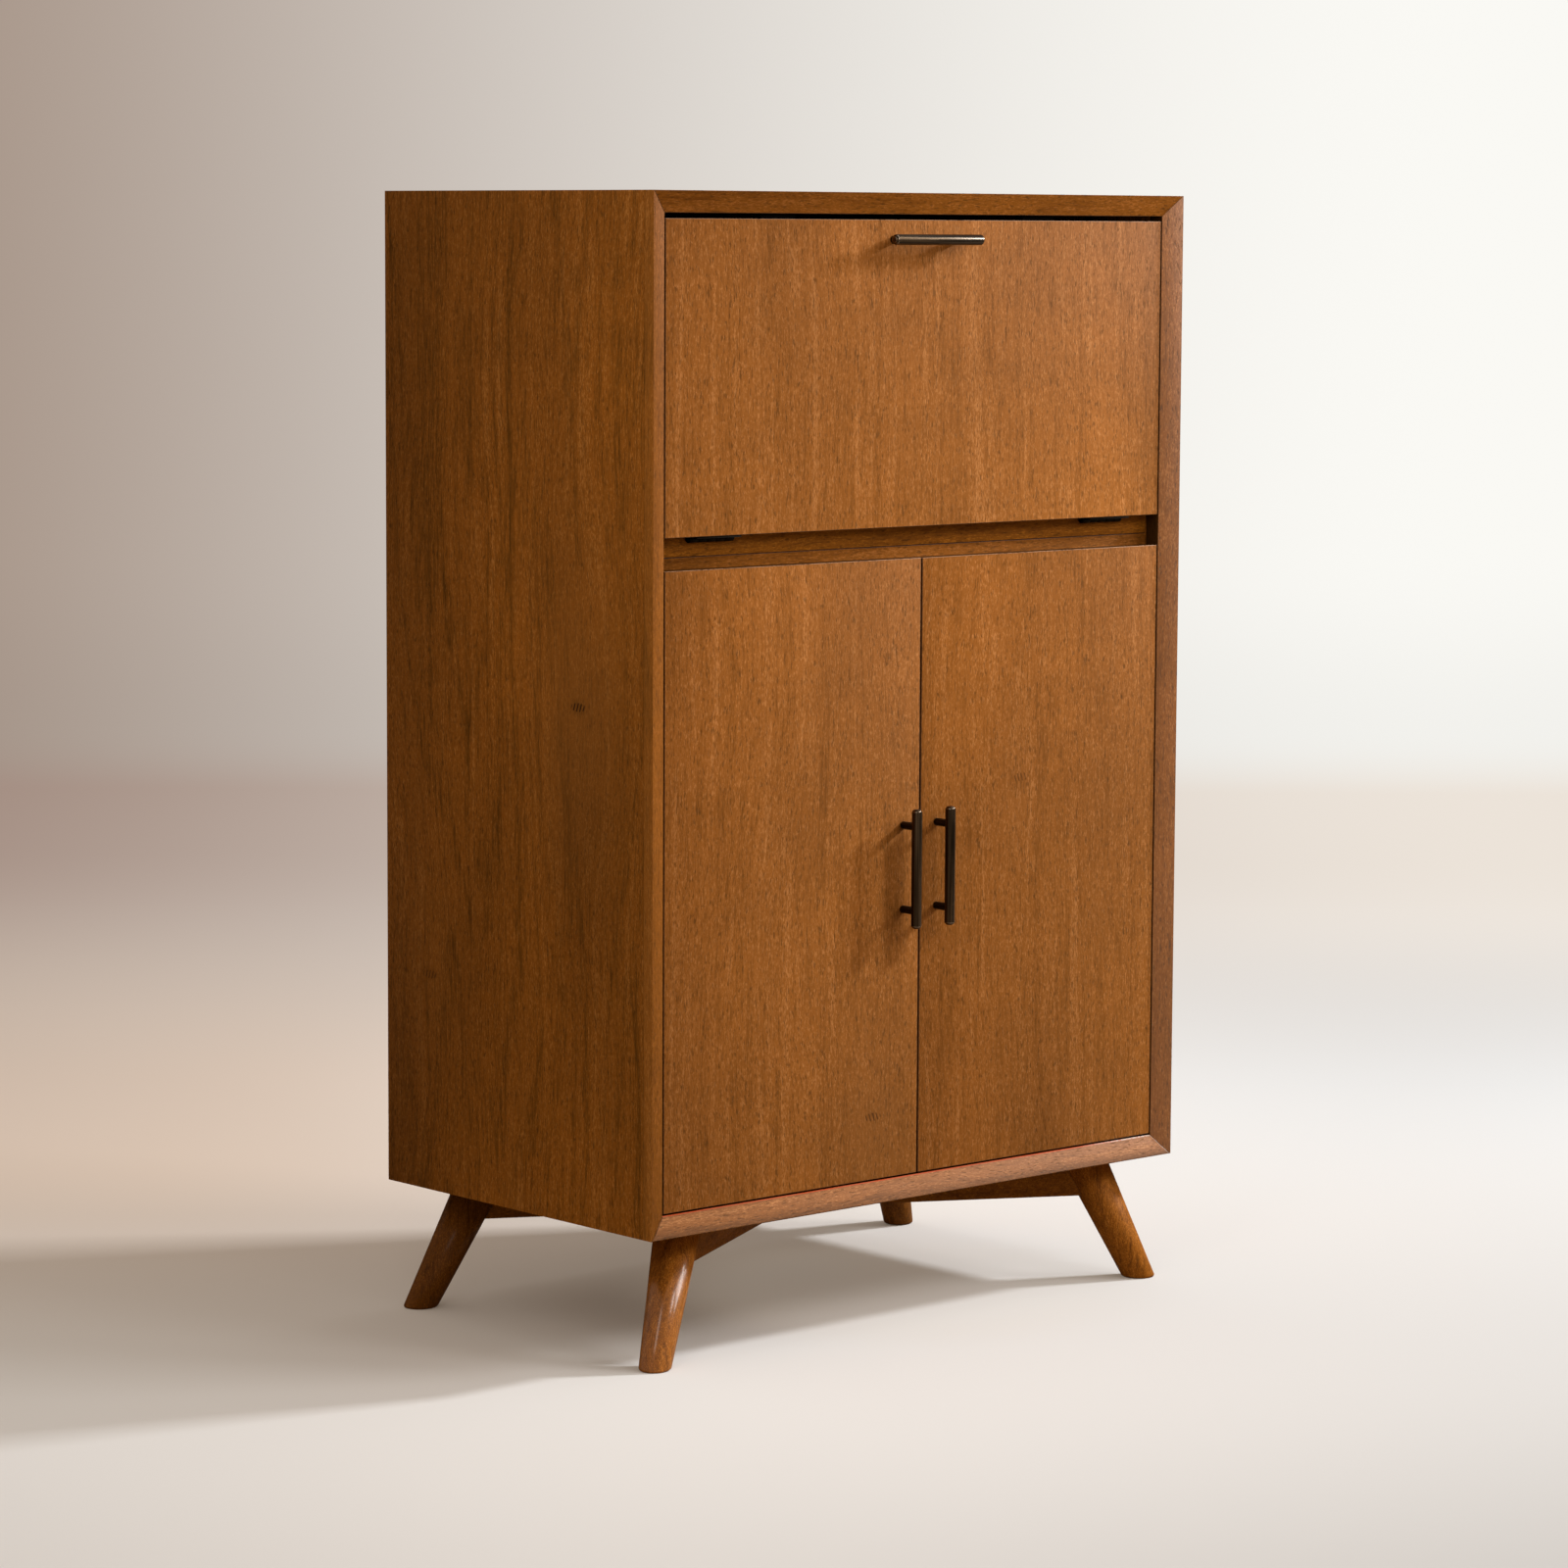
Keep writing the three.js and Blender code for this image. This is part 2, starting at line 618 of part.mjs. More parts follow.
function add_cup(name, s, z) {
  const x = s * (flap_half_width - cup_from_edge);
  const rim_y = rear_face_y + seat_gap;
  const bottom = point(x, rear_face_y - cup_depth, z);
  const cup = solid(rod(bottom, point(x, rim_y, z), cup_radius, undefined, leg_facets));
  const inner_edge = x - s * cup_plate_reach;
  const plate_x = [inner_edge, x + s * cup_plate_reach].sort((a, b) => a - b);
  const plate_z = [z - cup_plate_width / 2, z + cup_plate_width / 2];
  const plate = solid(block(plate_x, [rim_y, rim_y + cup_plate_thickness], plate_z));
  const rim = solid(
    rod(point(x, rim_y, z), point(x, rim_y + cup_plate_thickness, z), cup_radius, undefined, leg_facets),
  );
  const floor = point(x, rear_face_y - cup_depth + cup_base, z);
  const hollow = rod(floor, point(x, rim_y + overrun, z), cup_radius - cup_wall, undefined, leg_facets);
  place(cabinet, `${name}_cup`, geometry_of(cup.add(rim).add(plate).subtract(solid(hollow))), steel);
}

// The arm leaves its plate on the side panel, cranks inwards behind the door and dips into the cup.
function add_arm(name, s, z) {
  const wall = half_inner - seat_gap;
  const plate_face = wall - arm_plate_thickness;
  const arm_face = plate_face - arm_thickness;
  const tip_middle = flap_half_width - arm_tip_from_edge;
  const tip_outer = tip_middle + arm_tip_width / 2;
  const tip_inner = tip_middle - arm_tip_width / 2;
  const plate_start = rear_face_y + arm_plate_from_door;
  const plate_end = plate_start + arm_plate_length;
  const crank = rear_face_y + cup_plate_thickness + arm_crank_gap;
  const slant = arm_face - tip_inner;
  const outline = [
    [tip_inner, rear_face_y - arm_tip_into_cup],
    [tip_outer, rear_face_y - arm_tip_into_cup],
    [tip_outer, crank],
    [plate_face, crank + plate_face - tip_outer],
    [plate_face, plate_end],
    [arm_face, plate_end],
    [arm_face, crank + arm_tip_width + slant],
    [tip_inner, crank + arm_tip_width],
  ].map(([x, y]) => [s * x, y]);
  const arm = solid(prism_z(outline, [z - arm_height / 2, z + arm_height / 2]));
  const plate_x = in_plane(s, [plate_face, wall]);
  const plate_z = [z - arm_plate_height / 2, z + arm_plate_height / 2];
  const plate = solid(block(plate_x, [plate_start, plate_end], plate_z));
  place(cabinet, `${name}_arm`, geometry_of(arm.add(plate)), steel);
}

// Assembly
for (const [side, s] of Object.entries(sides)) add_side_panel(side, s);
add_level_panel("top_panel", case_top, inner_top, veneer);
add_level_panel("bottom_panel", case_bottom, inner_bottom, veneer);
add_back_board();
add_compartment_floor();
add_door_rail();
add_shelf();
add_braces();
add_flap();
for (const [side, s] of Object.entries(sides)) {
  Object.entries(ends).forEach(([end, s_y], i) => {
    add_shelf_pin(side, s, end, pin_rows()[i]);
    add_leg(side, s, end, s_y);
  });
  add_flap_hinge(side, s);
  add_flap_stay(side, s);
  add_flap_catch(side, s);
  add_door(side, s);
  for (const [level, z] of Object.entries(hinge_levels())) {
    add_cup(`door_hinge_${side}_${level}`, s, z);
    add_arm(`door_hinge_${side}_${level}`, s, z);
  }
}

export default cabinet;
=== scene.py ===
"""Bar cabinet with a fold out shelf: veneers, fittings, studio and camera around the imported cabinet."""

import json
import math

import bmesh
import bpy
from mathutils import Euler, Matrix, Vector


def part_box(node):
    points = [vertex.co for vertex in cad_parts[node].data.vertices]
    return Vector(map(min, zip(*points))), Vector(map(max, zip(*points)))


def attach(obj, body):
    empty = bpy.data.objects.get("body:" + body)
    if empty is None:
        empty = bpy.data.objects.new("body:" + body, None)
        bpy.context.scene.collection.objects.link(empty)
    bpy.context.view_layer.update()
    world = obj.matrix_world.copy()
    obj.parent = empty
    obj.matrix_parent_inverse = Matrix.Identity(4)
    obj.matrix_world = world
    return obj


bl_info = {
    "name": "Bar Cabinet",
    "version": (1, 0, 0),
    "blender": (4, 5, 0),
    "location": "View3D > Sidebar > Cabinet",
    "description": "Dresses a bar cabinet with a drop flap and two doors",
    "category": "Object",
}

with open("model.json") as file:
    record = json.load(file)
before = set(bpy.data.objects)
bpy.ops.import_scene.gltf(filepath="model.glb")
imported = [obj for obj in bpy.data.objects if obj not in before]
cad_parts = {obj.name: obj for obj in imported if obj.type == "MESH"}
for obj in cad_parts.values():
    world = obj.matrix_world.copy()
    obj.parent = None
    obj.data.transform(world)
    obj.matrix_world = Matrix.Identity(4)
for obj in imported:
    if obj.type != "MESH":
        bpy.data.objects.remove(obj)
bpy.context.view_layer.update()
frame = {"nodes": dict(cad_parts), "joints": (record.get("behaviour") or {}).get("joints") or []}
nodes = frame["nodes"]

SIDES = {"left": -1, "right": 1}
ALONG_X, ALONG_Y, ALONG_Z = "X", "Y", "Z"

# The view that the camera was fitted to, in degrees and metres
VIEW_AZIMUTH, VIEW_PITCH, VIEW_ROLL = 41.736, -6.382, 0.289
CAMERA_PLACE = (-3.8354, -4.2838, 1.2473)
CREVICE_BROWN = (0.02, 0.007, 0.003)
PORE_BROWN = (0.05, 0.022, 0.004)
HAIRLINE = 0.0004


# Sizes and colours that a user may change
def number(name, description, value, unit="LENGTH"):
    return bpy.props.FloatProperty(name=name, description=description, default=value, unit=unit)


def colour(name, description, value):
    return bpy.props.FloatVectorProperty(
        name=name, description=description, default=value, size=3, min=0, max=1, subtype="COLOR"
    )


class CabinetSizes(bpy.types.PropertyGroup):
    panel_edge: number("Panel edge", "Width of the broken edges of panels, doors and flap", 0.0006)
    foot_round: number("Foot rounding", "Rounding of the lower rim of each leg", 0.0035)
    metal_edge: number("Metal edge", "Rounding of the edges of the fittings", 0.0004)
    bar_rim: number("Bar rim", "Width of the polished rim at the ends of the handles' bars", 0.0007)
    lipping_width: number("Lipping width", "Width of the solid lipping on the front edge of each side panel", 0.015)
    leaf_screw_radius: number("Leaf screw radius", "Head radius of the screws in the flap's hinge leaves", 0.0026)
    fitting_screw_radius: number("Fitting screw radius", "Head radius of the screws in the other fittings", 0.0036)
    rivet_radius: number("Rivet radius", "Head radius of the rivets at the stays' pivots", 0.0046)
    buffer_radius: number("Buffer radius", "Radius of the felt buffers that the doors close against", 0.004)


class CabinetColours(bpy.types.PropertyGroup):
    front_light: colour("Front light", "Light grain of the flap and doors", (0.44, 0.178, 0.05))
    front_mid: colour("Front middle", "Main tone of the flap and doors", (0.285, 0.098, 0.016))
    front_dark: colour("Front dark", "Dark grain of the flap and doors", (0.16, 0.054, 0.006))
    case_light: colour("Case light", "Light grain of the case", (0.47, 0.185, 0.036))
    case_mid: colour("Case middle", "Main tone of the case", (0.305, 0.1, 0.009))
    case_dark: colour("Case dark", "Dark grain of the case", (0.118, 0.044, 0.003))
    # The stile tones are a darker copy of the front wood: painted shade on the left front edge, the top rail and the
    # door rail
    stile_light: colour("Stile light", "Light grain of the left front edge", (0.3, 0.105, 0.02))
    stile_mid: colour("Stile middle", "Main tone of the left front edge", (0.2, 0.065, 0.007))
    stile_dark: colour("Stile dark", "Dark grain of the left front edge", (0.11, 0.033, 0.003))
    inside_light: colour("Inside light", "Light grain of the boards inside", (0.3, 0.105, 0.01))
    inside_mid: colour("Inside middle", "Main tone of the boards inside", (0.19, 0.062, 0.005))
    inside_dark: colour("Inside dark", "Dark grain of the boards inside", (0.105, 0.032, 0.003))
    leg_light: colour("Leg light", "Light grain of the legs", (0.46, 0.168, 0.024))
    leg_mid: colour("Leg middle", "Main tone of the legs", (0.235, 0.074, 0.006))
    leg_dark: colour("Leg dark", "Dark grain of the legs", (0.075, 0.022, 0.003))
    red_stain: colour("Red stain", "Stain gathered along the edges of the bottom rail", (0.45, 0.06, 0.01))
    # Worn wood also serves as a painted highlight on edges that face up
    worn_wood: colour("Worn wood", "Bare wood where an edge has lost its stain", (0.47, 0.255, 0.14))
    # Painted sheen that stands in for a reflection at the right end of the bottom rail
    scuffed_wood: colour("Scuffed wood", "Scraped finish at the right end of the bottom rail", (0.62, 0.54, 0.47))
    bronze: colour("Bronze", "Handles and flap hinges", (0.018, 0.013, 0.008))
    bronze_worn: colour("Worn bronze", "Bare metal of the bronze parts' edges", (0.13, 0.085, 0.05))
    steel: colour("Steel", "Stays, door hinges, strikers, pins and screws", (0.56, 0.555, 0.54))
    plastic: colour("Plastic", "Stay housings and catches", (0.01, 0.0095, 0.009))
    felt: colour("Felt", "Buffers behind the doors", (0.06, 0.032, 0.018))


class CabinetStudio(bpy.types.PropertyGroup):
    focal_length: number("Focal length", "Lens of the camera", 113.767, "CAMERA")
    paper: colour("Paper", "Colour of the light that floor and backdrop give back", (0.34, 0.28, 0.22))
    # Near tones for the camera: darker on the right, painted shade that evens out the stronger lamplight on that side
    near_left: colour("Near floor left", "Floor around the cabinet on the left", (0.805, 0.8, 0.795))
    near_right: colour("Near floor right", "Floor around the cabinet on the right", (0.5, 0.508, 0.512))
    # Painted shadow on the floor behind the cabinet's shadow on the left
    near_warm_shade: colour("Near floor warm", "Floor behind the cabinet's shadow on the left", (0.74, 0.62, 0.53))
    # Tones that glow in the floor's shadow for the camera: painted light that lifts the shadow around and under the
    # cabinet
    shade_tone: colour("Shade", "Tone that the floor around the cabinet keeps in full shadow", (0.72, 0.56, 0.41))
    under_tone: colour("Shade below", "Tone that the floor right under the cabinet keeps", (0.78, 0.65, 0.52))
    # Far tones for the camera, darker on the left: painted shade of light that fades to that side
    floor_left: colour("Far floor left", "Floor at the foot of the backdrop on the left", (0.36, 0.26, 0.215))
    floor_right: colour("Far floor right", "Floor at the foot of the backdrop on the right", (0.84, 0.77, 0.695))
    middle_left: colour("Middle floor left", "Floor behind the cabinet on the left", (0.56, 0.46, 0.38))
    middle_right: colour("Middle floor right", "Floor behind the cabinet on the right", (0.91, 0.87, 0.83))
    wall_left: colour("Wall left", "Backdrop on the left", (0.36, 0.27, 0.215))
    wall_right: colour("Wall right", "Backdrop on the right", (0.955, 0.945, 0.905))
    key_power: number("Key power", "Power of the lamp on the right", 142.0, "POWER")
    front_power: number("Front power", "Power of the lamp in front", 7.5, "POWER")
    box_power: number("Box power", "Power of the large soft box between key and camera", 104.0, "POWER")
    fill_power: number("Fill power", "Power of the weak lamp on the left", 4.6, "POWER")
    top_power: number("Top power", "Power of the lamp overhead", 14.0, "POWER")
    surround: number("Surround", "Strength of the even light from all round", 0.41, "NONE")


SETTINGS = {"cabinet_sizes": CabinetSizes, "cabinet_colours": CabinetColours, "cabinet_studio": CabinetStudio}


# Node trees
def add_node(tree, kind, inputs=None, **settings):
    """Adds a node; each input is a socket to link or a value to set."""
    made = tree.nodes.new(kind)
    for name, value in settings.items():
        setattr(made, name, value)
    for name, value in (inputs or {}).items():
        if isinstance(value, bpy.types.NodeSocket):
            tree.links.new(value, made.inputs[name])
        else:
            made.inputs[name].default_value = value
    return made


def calculate(tree, operation, first, second=0.0, clamp=False):
    inputs = {0: first, 1: second}
    return add_node(tree, "ShaderNodeMath", inputs, operation=operation, use_clamp=clamp).outputs[0]


def times(tree, first, second):
    return calculate(tree, "MULTIPLY", first, second)


def plus(tree, first, second, clamp=False):
    return calculate(tree, "ADD", first, second, clamp)


def minus(tree, first, second):
    return calculate(tree, "SUBTRACT", first, second)


def vector(tree, operation, first, second, output="Vector"):
    inputs = {0: first, 1: second}
    return add_node(tree, "ShaderNodeVectorMath", inputs, operation=operation).outputs[output]


def scaled(tree, first, factor):
    return add_node(tree, "ShaderNodeVectorMath", {0: first, "Scale": factor}, operation="SCALE").outputs[0]


def size_of(tree, first):
    return add_node(tree, "ShaderNodeVectorMath", {0: first}, operation="LENGTH").outputs["Value"]


def axes_of(tree, place):
    return add_node(tree, "ShaderNodeSeparateXYZ", {0: place}).outputs


def mapped(tree, value, low, high, to_low=0.0, to_high=1.0):
    inputs = {"Value": value, "From Min": low, "From Max": high, "To Min": to_low, "To Max": to_high}
    return add_node(tree, "ShaderNodeMapRange", inputs, interpolation_type="SMOOTHSTEP").outputs[0]


def blended(tree, factor, first, second):
    made = add_node(tree, "ShaderNodeMix", {0: factor}, data_type="RGBA")
    for index, value in ((6, first), (7, second)):
        if isinstance(value, bpy.types.NodeSocket):
            tree.links.new(value, made.inputs[index])
        else:
            made.inputs[index].default_value = (*value[:3], 1)
    return made.outputs[2]


def toned(tone, factor):
    return tuple(factor * v for v in tone)


def stretched(tree, place, scale, shift=(0, 0, 0)):
    inputs = {"Vector": place, "Scale": scale, "Location": shift}
    return add_node(tree, "ShaderNodeMapping", inputs).outputs[0]


def noise(tree, place, scale, detail=3.0, roughness=0.55, distortion=0.0):
    inputs = {"Vector": place, "Scale": scale, "Detail": detail, "Roughness": roughness, "Distortion": distortion}
    return add_node(tree, "ShaderNodeTexNoise", inputs).outputs[0]


def new_material(name, levels):
    material = bpy.data.materials.new(name)
    material.use_nodes = True
    tree = material.node_tree
    tree.nodes.clear()
    shader = add_node(tree, "ShaderNodeBsdfPrincipled", levels)
    add_node(tree, "ShaderNodeOutputMaterial", {"Surface": shader.outputs[0]})
    return material, tree, shader


def connect(tree, shader, tone, rough, strength, distance, height):
    """Gives a shader its colour, its roughness and its relief."""
    bump = add_node(tree, "ShaderNodeBump", {"Strength": strength, "Distance": distance, "Height": height})
    for name, socket in (("Base Color", tone), ("Roughness", rough), ("Normal", bump.outputs[0])):
        tree.links.new(socket, shader.inputs[name])


def object_place(tree):
    return add_node(tree, "ShaderNodeTexCoord").outputs["Object"]


def on_line(tree, value, level):
    """1 on a hairline at one level of an axis, 0 off it."""
    off = calculate(tree, "ABSOLUTE", minus(tree, value, level))
    return calculate(tree, "LESS_THAN", off, HAIRLINE)


# The turn that brings each board's grain upright, to Z in the pattern
GRAIN_TURNS = {ALONG_X: (0, math.radians(90), 0), ALONG_Y: (math.radians(90), 0, 0), ALONG_Z: (0, 0, 0)}


def knot_flow(tree, place, centre, radius):
    """Bends the grain around a knot, and gives how near a point is to it, to its heart and to its row of dashes."""
    dash_slant, dashes_per_metre, push_in = 0.35, 1150.0, -0.62
    away = vector(tree, "SUBTRACT", place, centre)
    offset = axes_of(tree, away)
    along = plus(tree, plus(tree, offset["X"], offset["Y"]), times(tree, offset["Z"], dash_slant))
    wave = calculate(tree, "SINE", times(tree, along, dashes_per_metre))
    oval = size_of(tree, stretched(tree, away, (1, 1, 2.6)))
    dashes = times(tree, mapped(tree, oval, 0.0105, 0.0145, 0.9, 0.0), mapped(tree, wave, 0.0, 0.7))
    heart = size_of(tree, stretched(tree, away, (1, 1, 1.7)))
    near = mapped(tree, size_of(tree, stretched(tree, away, (1, 1, 0.42))), 0.0, radius, 1.0, 0.0)
    bent = vector(tree, "ADD", place, scaled(tree, away, times(tree, near, push_in)))
    return bent, near, heart, dashes


def zoned(tree, tone, place, zones):
    """Broad lighter and darker zones of a veneer, each an oval that fades out at its reach."""
    for centre, reach, strength in zones:
        oval = stretched(tree, vector(tree, "SUBTRACT", place, centre), tuple(1 / r for r in reach))
        tone = scaled(tree, tone, mapped(tree, size_of(tree, oval), 0.0, 1.0, 1 + strength, 1.0))
    return tone


def nail_heads(tree, tone, low, high):
    """Nail heads flush with a board that faces backwards, in a row along its border."""
    inset, radius, across, upwards = 0.0045, 0.0017, 5, 7
    parts = axes_of(tree, object_place(tree))
    squares, ends = [], []
    for axis, start, end, count in (("X", low.x, high.x, across), ("Z", low.z, high.z, upwards)):
        pitch = (end - start - 2 * inset) / (count - 1)
        along = calculate(tree, "DIVIDE", minus(tree, parts[axis], start + inset), pitch)
        nearest = calculate(tree, "ROUND", along)
        off = times(tree, minus(tree, along, nearest), pitch)
        squares.append(times(tree, off, off))
        from_middle = calculate(tree, "ABSOLUTE", minus(tree, nearest, (count - 1) / 2))
        ends.append(calculate(tree, "GREATER_THAN", from_middle, count / 2 - 1))
    distance = calculate(tree, "SQRT", plus(tree, *squares))
    border = calculate(tree, "MAXIMUM", *ends)
    rim = times(tree, mapped(tree, distance, 1.5 * radius, radius), border)
    head = times(tree, mapped(tree, distance, radius, 0.85 * radius), border)
    tone = blended(tree, times(tree, rim, 0.8), tone, CREVICE_BROWN)
    return blended(tree, head, tone, toned(bpy.context.scene.cabinet_colours.steel, 0.6))


def wood_pattern():
    """The grain shared by every wooden part, as a node group in metres with the grain along Z."""
    group = bpy.data.node_groups.new("cabinet_wood_grain", "ShaderNodeTree")
    sockets = {
        "INPUT": {
            "Place": "Vector", "Flow": "Vector", "Light": "Color", "Middle": "Color", "Dark": "Color",
            "Figure": "Float", "Gloss": "Float",
        },
        "OUTPUT": {"Color": "Color", "Roughness": "Float", "Height": "Float"},
    }
    for way, kinds in sockets.items():
        for name, kind in kinds.items():
            group.interface.new_socket(name, in_out=way, socket_type=f"NodeSocket{kind}")
    given = add_node(group, "NodeGroupInput").outputs
    place = given["Place"]

    def layer(where, across, along, *look):
        """Noise with this many cells per metre across and along the grain."""
        return noise(group, stretched(group, where, (across, across, along)), 1.0, *look)

    # Slow wander of the grain lines, sideways only
    sway = times(group, minus(group, layer(place, 2.6, 1.3, 2.0), 0.5), 0.075)
    sideways = add_node(group, "ShaderNodeCombineXYZ", {"X": sway, "Y": sway}).outputs[0]
    line = vector(group, "ADD", place, sideways)
    flow = vector(group, "ADD", given["Flow"], sideways)

    # Broad figure, growth lines, fibres, short pores and soft clouds
    bands = layer(flow, 15, 0.9, 3.0, 0.5)
    growth = layer(flow, 85, 1.3, 4.0, 0.6, 0.25)
    fibres = layer(line, 310, 26, 4.0, 0.75, 0.3)
    hair = layer(line, 640, 190, 3.0, 0.7, 0.5)
    pores = layer(line, 560, 110, 1.0, 0.5)
    clouds = layer(place, 4.2, 2.1, 2.0, 0.5)
    ripple = layer(place, 9, 26, 2.0, 0.5)
    layers = layer(flow, 4.4, 0.42, 2.0, 0.45)
    layers = plus(group, times(group, layers, 15.0), times(group, growth, 0.8))
    layers = mapped(group, calculate(group, "FRACT", layers), 0.55, 0.97)

    # Darker than the main tone: bands, growth lines, rings and streaks
    dark = times(group, times(group, mapped(group, bands, 0.5, 0.72), given["Figure"]), 0.5)
    strength = plus(group, times(group, given["Figure"], 0.2), 0.16)
    dark = plus(group, dark, times(group, mapped(group, growth, 0.5, 0.62), strength))
    dark = plus(group, dark, times(group, layers, times(group, given["Figure"], 0.6)))
    dark = plus(group, dark, times(group, minus(group, fibres, 0.5), 3.0), clamp=True)

    # Lighter than the main tone: growth lines and flecks
    light = times(group, mapped(group, growth, 0.5, 0.28), 0.75)
    light = plus(group, light, times(group, minus(group, 0.48, hair), 7.5), clamp=True)
    tone = blended(group, light, given["Middle"], given["Light"])
    tone = blended(group, dark, tone, given["Dark"])
    cloud_shade = mapped(group, clouds, 0.3, 0.7, 0.88, 1.12)
    shaded = scaled(group, tone, plus(group, cloud_shade, mapped(group, ripple, 0.3, 0.7, -0.035, 0.035)))
    pits = mapped(group, pores, 0.58, 0.7)
    shaded = blended(group, times(group, pits, 0.5), shaded, PORE_BROWN)

    rough = plus(group, given["Gloss"], times(group, minus(group, fibres, 0.5), 0.14))
    rough = plus(group, rough, times(group, pits, 0.12))
    height = minus(group, times(group, hair, 0.5), pits)
    result = add_node(group, "NodeGroupOutput")
    for name, socket in (("Color", shaded), ("Roughness", rough), ("Height", height)):
        group.links.new(socket, result.inputs[name])
    return group


def pattern_group():
    return bpy.data.node_groups.get("cabinet_wood_grain") or wood_pattern()


def wood(
    name, tones, grain, shift, figure=0.5, gloss=0.52, coat=0.0, shine=0.05, scale=1.0,
    knots=(), lipping=None, painted_gap_shade=None, lift=1.0, zones=(), nailed=None,
):
    """Lacquered veneer or solid wood; shift moves each board to a piece of the pattern of its own."""
    levels = {"Coat Weight": coat, "Coat Roughness": 0.17, "Specular IOR Level": shine}
    material, tree, shader = new_material(name, levels)
    flow = place = object_place(tree)
    nearness = []
    for centre, radius in knots:
        flow, *marks = knot_flow(tree, flow, centre, radius)
        nearness.append((*marks, radius))
    colours = bpy.context.scene.cabinet_colours
    light, middle, dark = (toned(getattr(colours, f"{tones}_{tone}"), lift) for tone in ("light", "mid", "dark"))
    group = add_node(tree, "ShaderNodeGroup", {"Figure": figure, "Gloss": gloss}, node_tree=pattern_group())
    for socket, given in (("Place", place), ("Flow", flow)):
        inputs = {"Vector": given, "Rotation": GRAIN_TURNS[grain], "Location": shift, "Scale": (scale, scale, scale)}
        tree.links.new(add_node(tree, "ShaderNodeMapping", inputs).outputs[0], group.inputs[socket])
    for socket, value in (("Light", light), ("Middle", middle), ("Dark", dark)):
        group.inputs[socket].default_value = (*value, 1)
    tone = zoned(tree, group.outputs["Color"], place, zones)

    # Marks over the grain: knots, the seam of a lipping, painted shade behind the gaps and nail heads
    for near, heart, dashes, radius in nearness:
        halo = times(tree, calculate(tree, "POWER", near, 2.0), 8.0 * radius * radius)
        tone = blended(tree, halo, tone, light)
        tone = blended(tree, mapped(tree, heart, 0.006, 0.022, 2.0 * radius, 0.0), tone, dark)
        tone = blended(tree, times(tree, dashes, min(1.0, 6.5 * radius)), tone, CREVICE_BROWN)
    parts = axes_of(tree, place)
    if lipping:
        strip = calculate(tree, "LESS_THAN", parts["Y"], lipping)
        tone = blended(tree, times(tree, strip, 0.22), tone, light)
        tone = blended(tree, times(tree, on_line(tree, parts["Y"], lipping), 0.55), tone, dark)
    # Painted shade: a dark strip on an inner face just behind the fronts, where the gaps around them look dark
    if painted_gap_shade:
        axis, level, rear = painted_gap_shade
        strip = times(tree, on_line(tree, parts[axis], level), calculate(tree, "LESS_THAN", parts["Y"], rear))
        tone = blended(tree, times(tree, strip, 0.93), tone, toned(dark, 0.2))
    if nailed:
        tone = nail_heads(tree, tone, *nailed)
    connect(tree, shader, tone, group.outputs["Roughness"], 0.22, 0.0004, group.outputs["Height"])
    return material


def worn_edge(name, tones, shift, wear=0.85, stain=None):
    """The broken edge of a board, where the wood is bare in places, most on edges that face up, which also paints a
    highlight along them; stain lies along an inner edge that faces up, and a painted sheen at the right end of the
    rail.
    """
    material, tree, shader = new_material(name, {"Specular IOR Level": 0.1 if stain else 0.22})
    colours = bpy.context.scene.cabinet_colours
    deep = getattr(colours, f"{tones}_dark")
    place = object_place(tree)
    moved = stretched(tree, place, (1, 1, 1), shift)
    patches = noise(tree, moved, 21.0, 5.0, 0.7)
    fine = noise(tree, moved, 240.0, 3.0, 0.6)
    bare = plus(tree, patches, times(tree, minus(tree, fine, 0.5), 0.5))
    tone = blended(tree, mapped(tree, fine, 0.35, 0.65), toned(deep, 0.35), deep)
    normal = axes_of(tree, add_node(tree, "ShaderNodeTexCoord").outputs["Normal"])
    upward = normal["Z"]
    if stain:
        endways = mapped(tree, calculate(tree, "ABSOLUTE", normal["X"]), 0.15, 0.3, 1.0, 0.0)
        tone = blended(tree, times(tree, mapped(tree, upward, 0.46, 0.6), endways), tone, stain)
        # Painted sheen: at the rail's right end the up-facing edge turns pale, standing in for a reflection of a
        # bright lamp
        right_end = mapped(tree, axes_of(tree, place)["X"], 0.25, 0.35)
        painted_sheen = times(tree, right_end, mapped(tree, upward, 0.42, 0.5))
        painted_sheen = times(tree, painted_sheen, mapped(tree, fine, 0.4, 0.55, 0.35, 0.9))
        tone = blended(tree, painted_sheen, tone, colours.scuffed_wood)
    # Bare wood in patches, most on edges that face up: partly wear, partly a painted highlight where light catches
    # the top edges
    worn_and_lit = times(tree, mapped(tree, bare, 0.34, 0.52), mapped(tree, upward, 0.15, 0.7, 0.14 * wear, wear))
    tone = blended(tree, worn_and_lit, tone, colours.worn_wood)
    connect(tree, shader, tone, mapped(tree, bare, 0.4, 0.7, 0.42, 0.62), 0.25, 0.0004, fine)
    return material


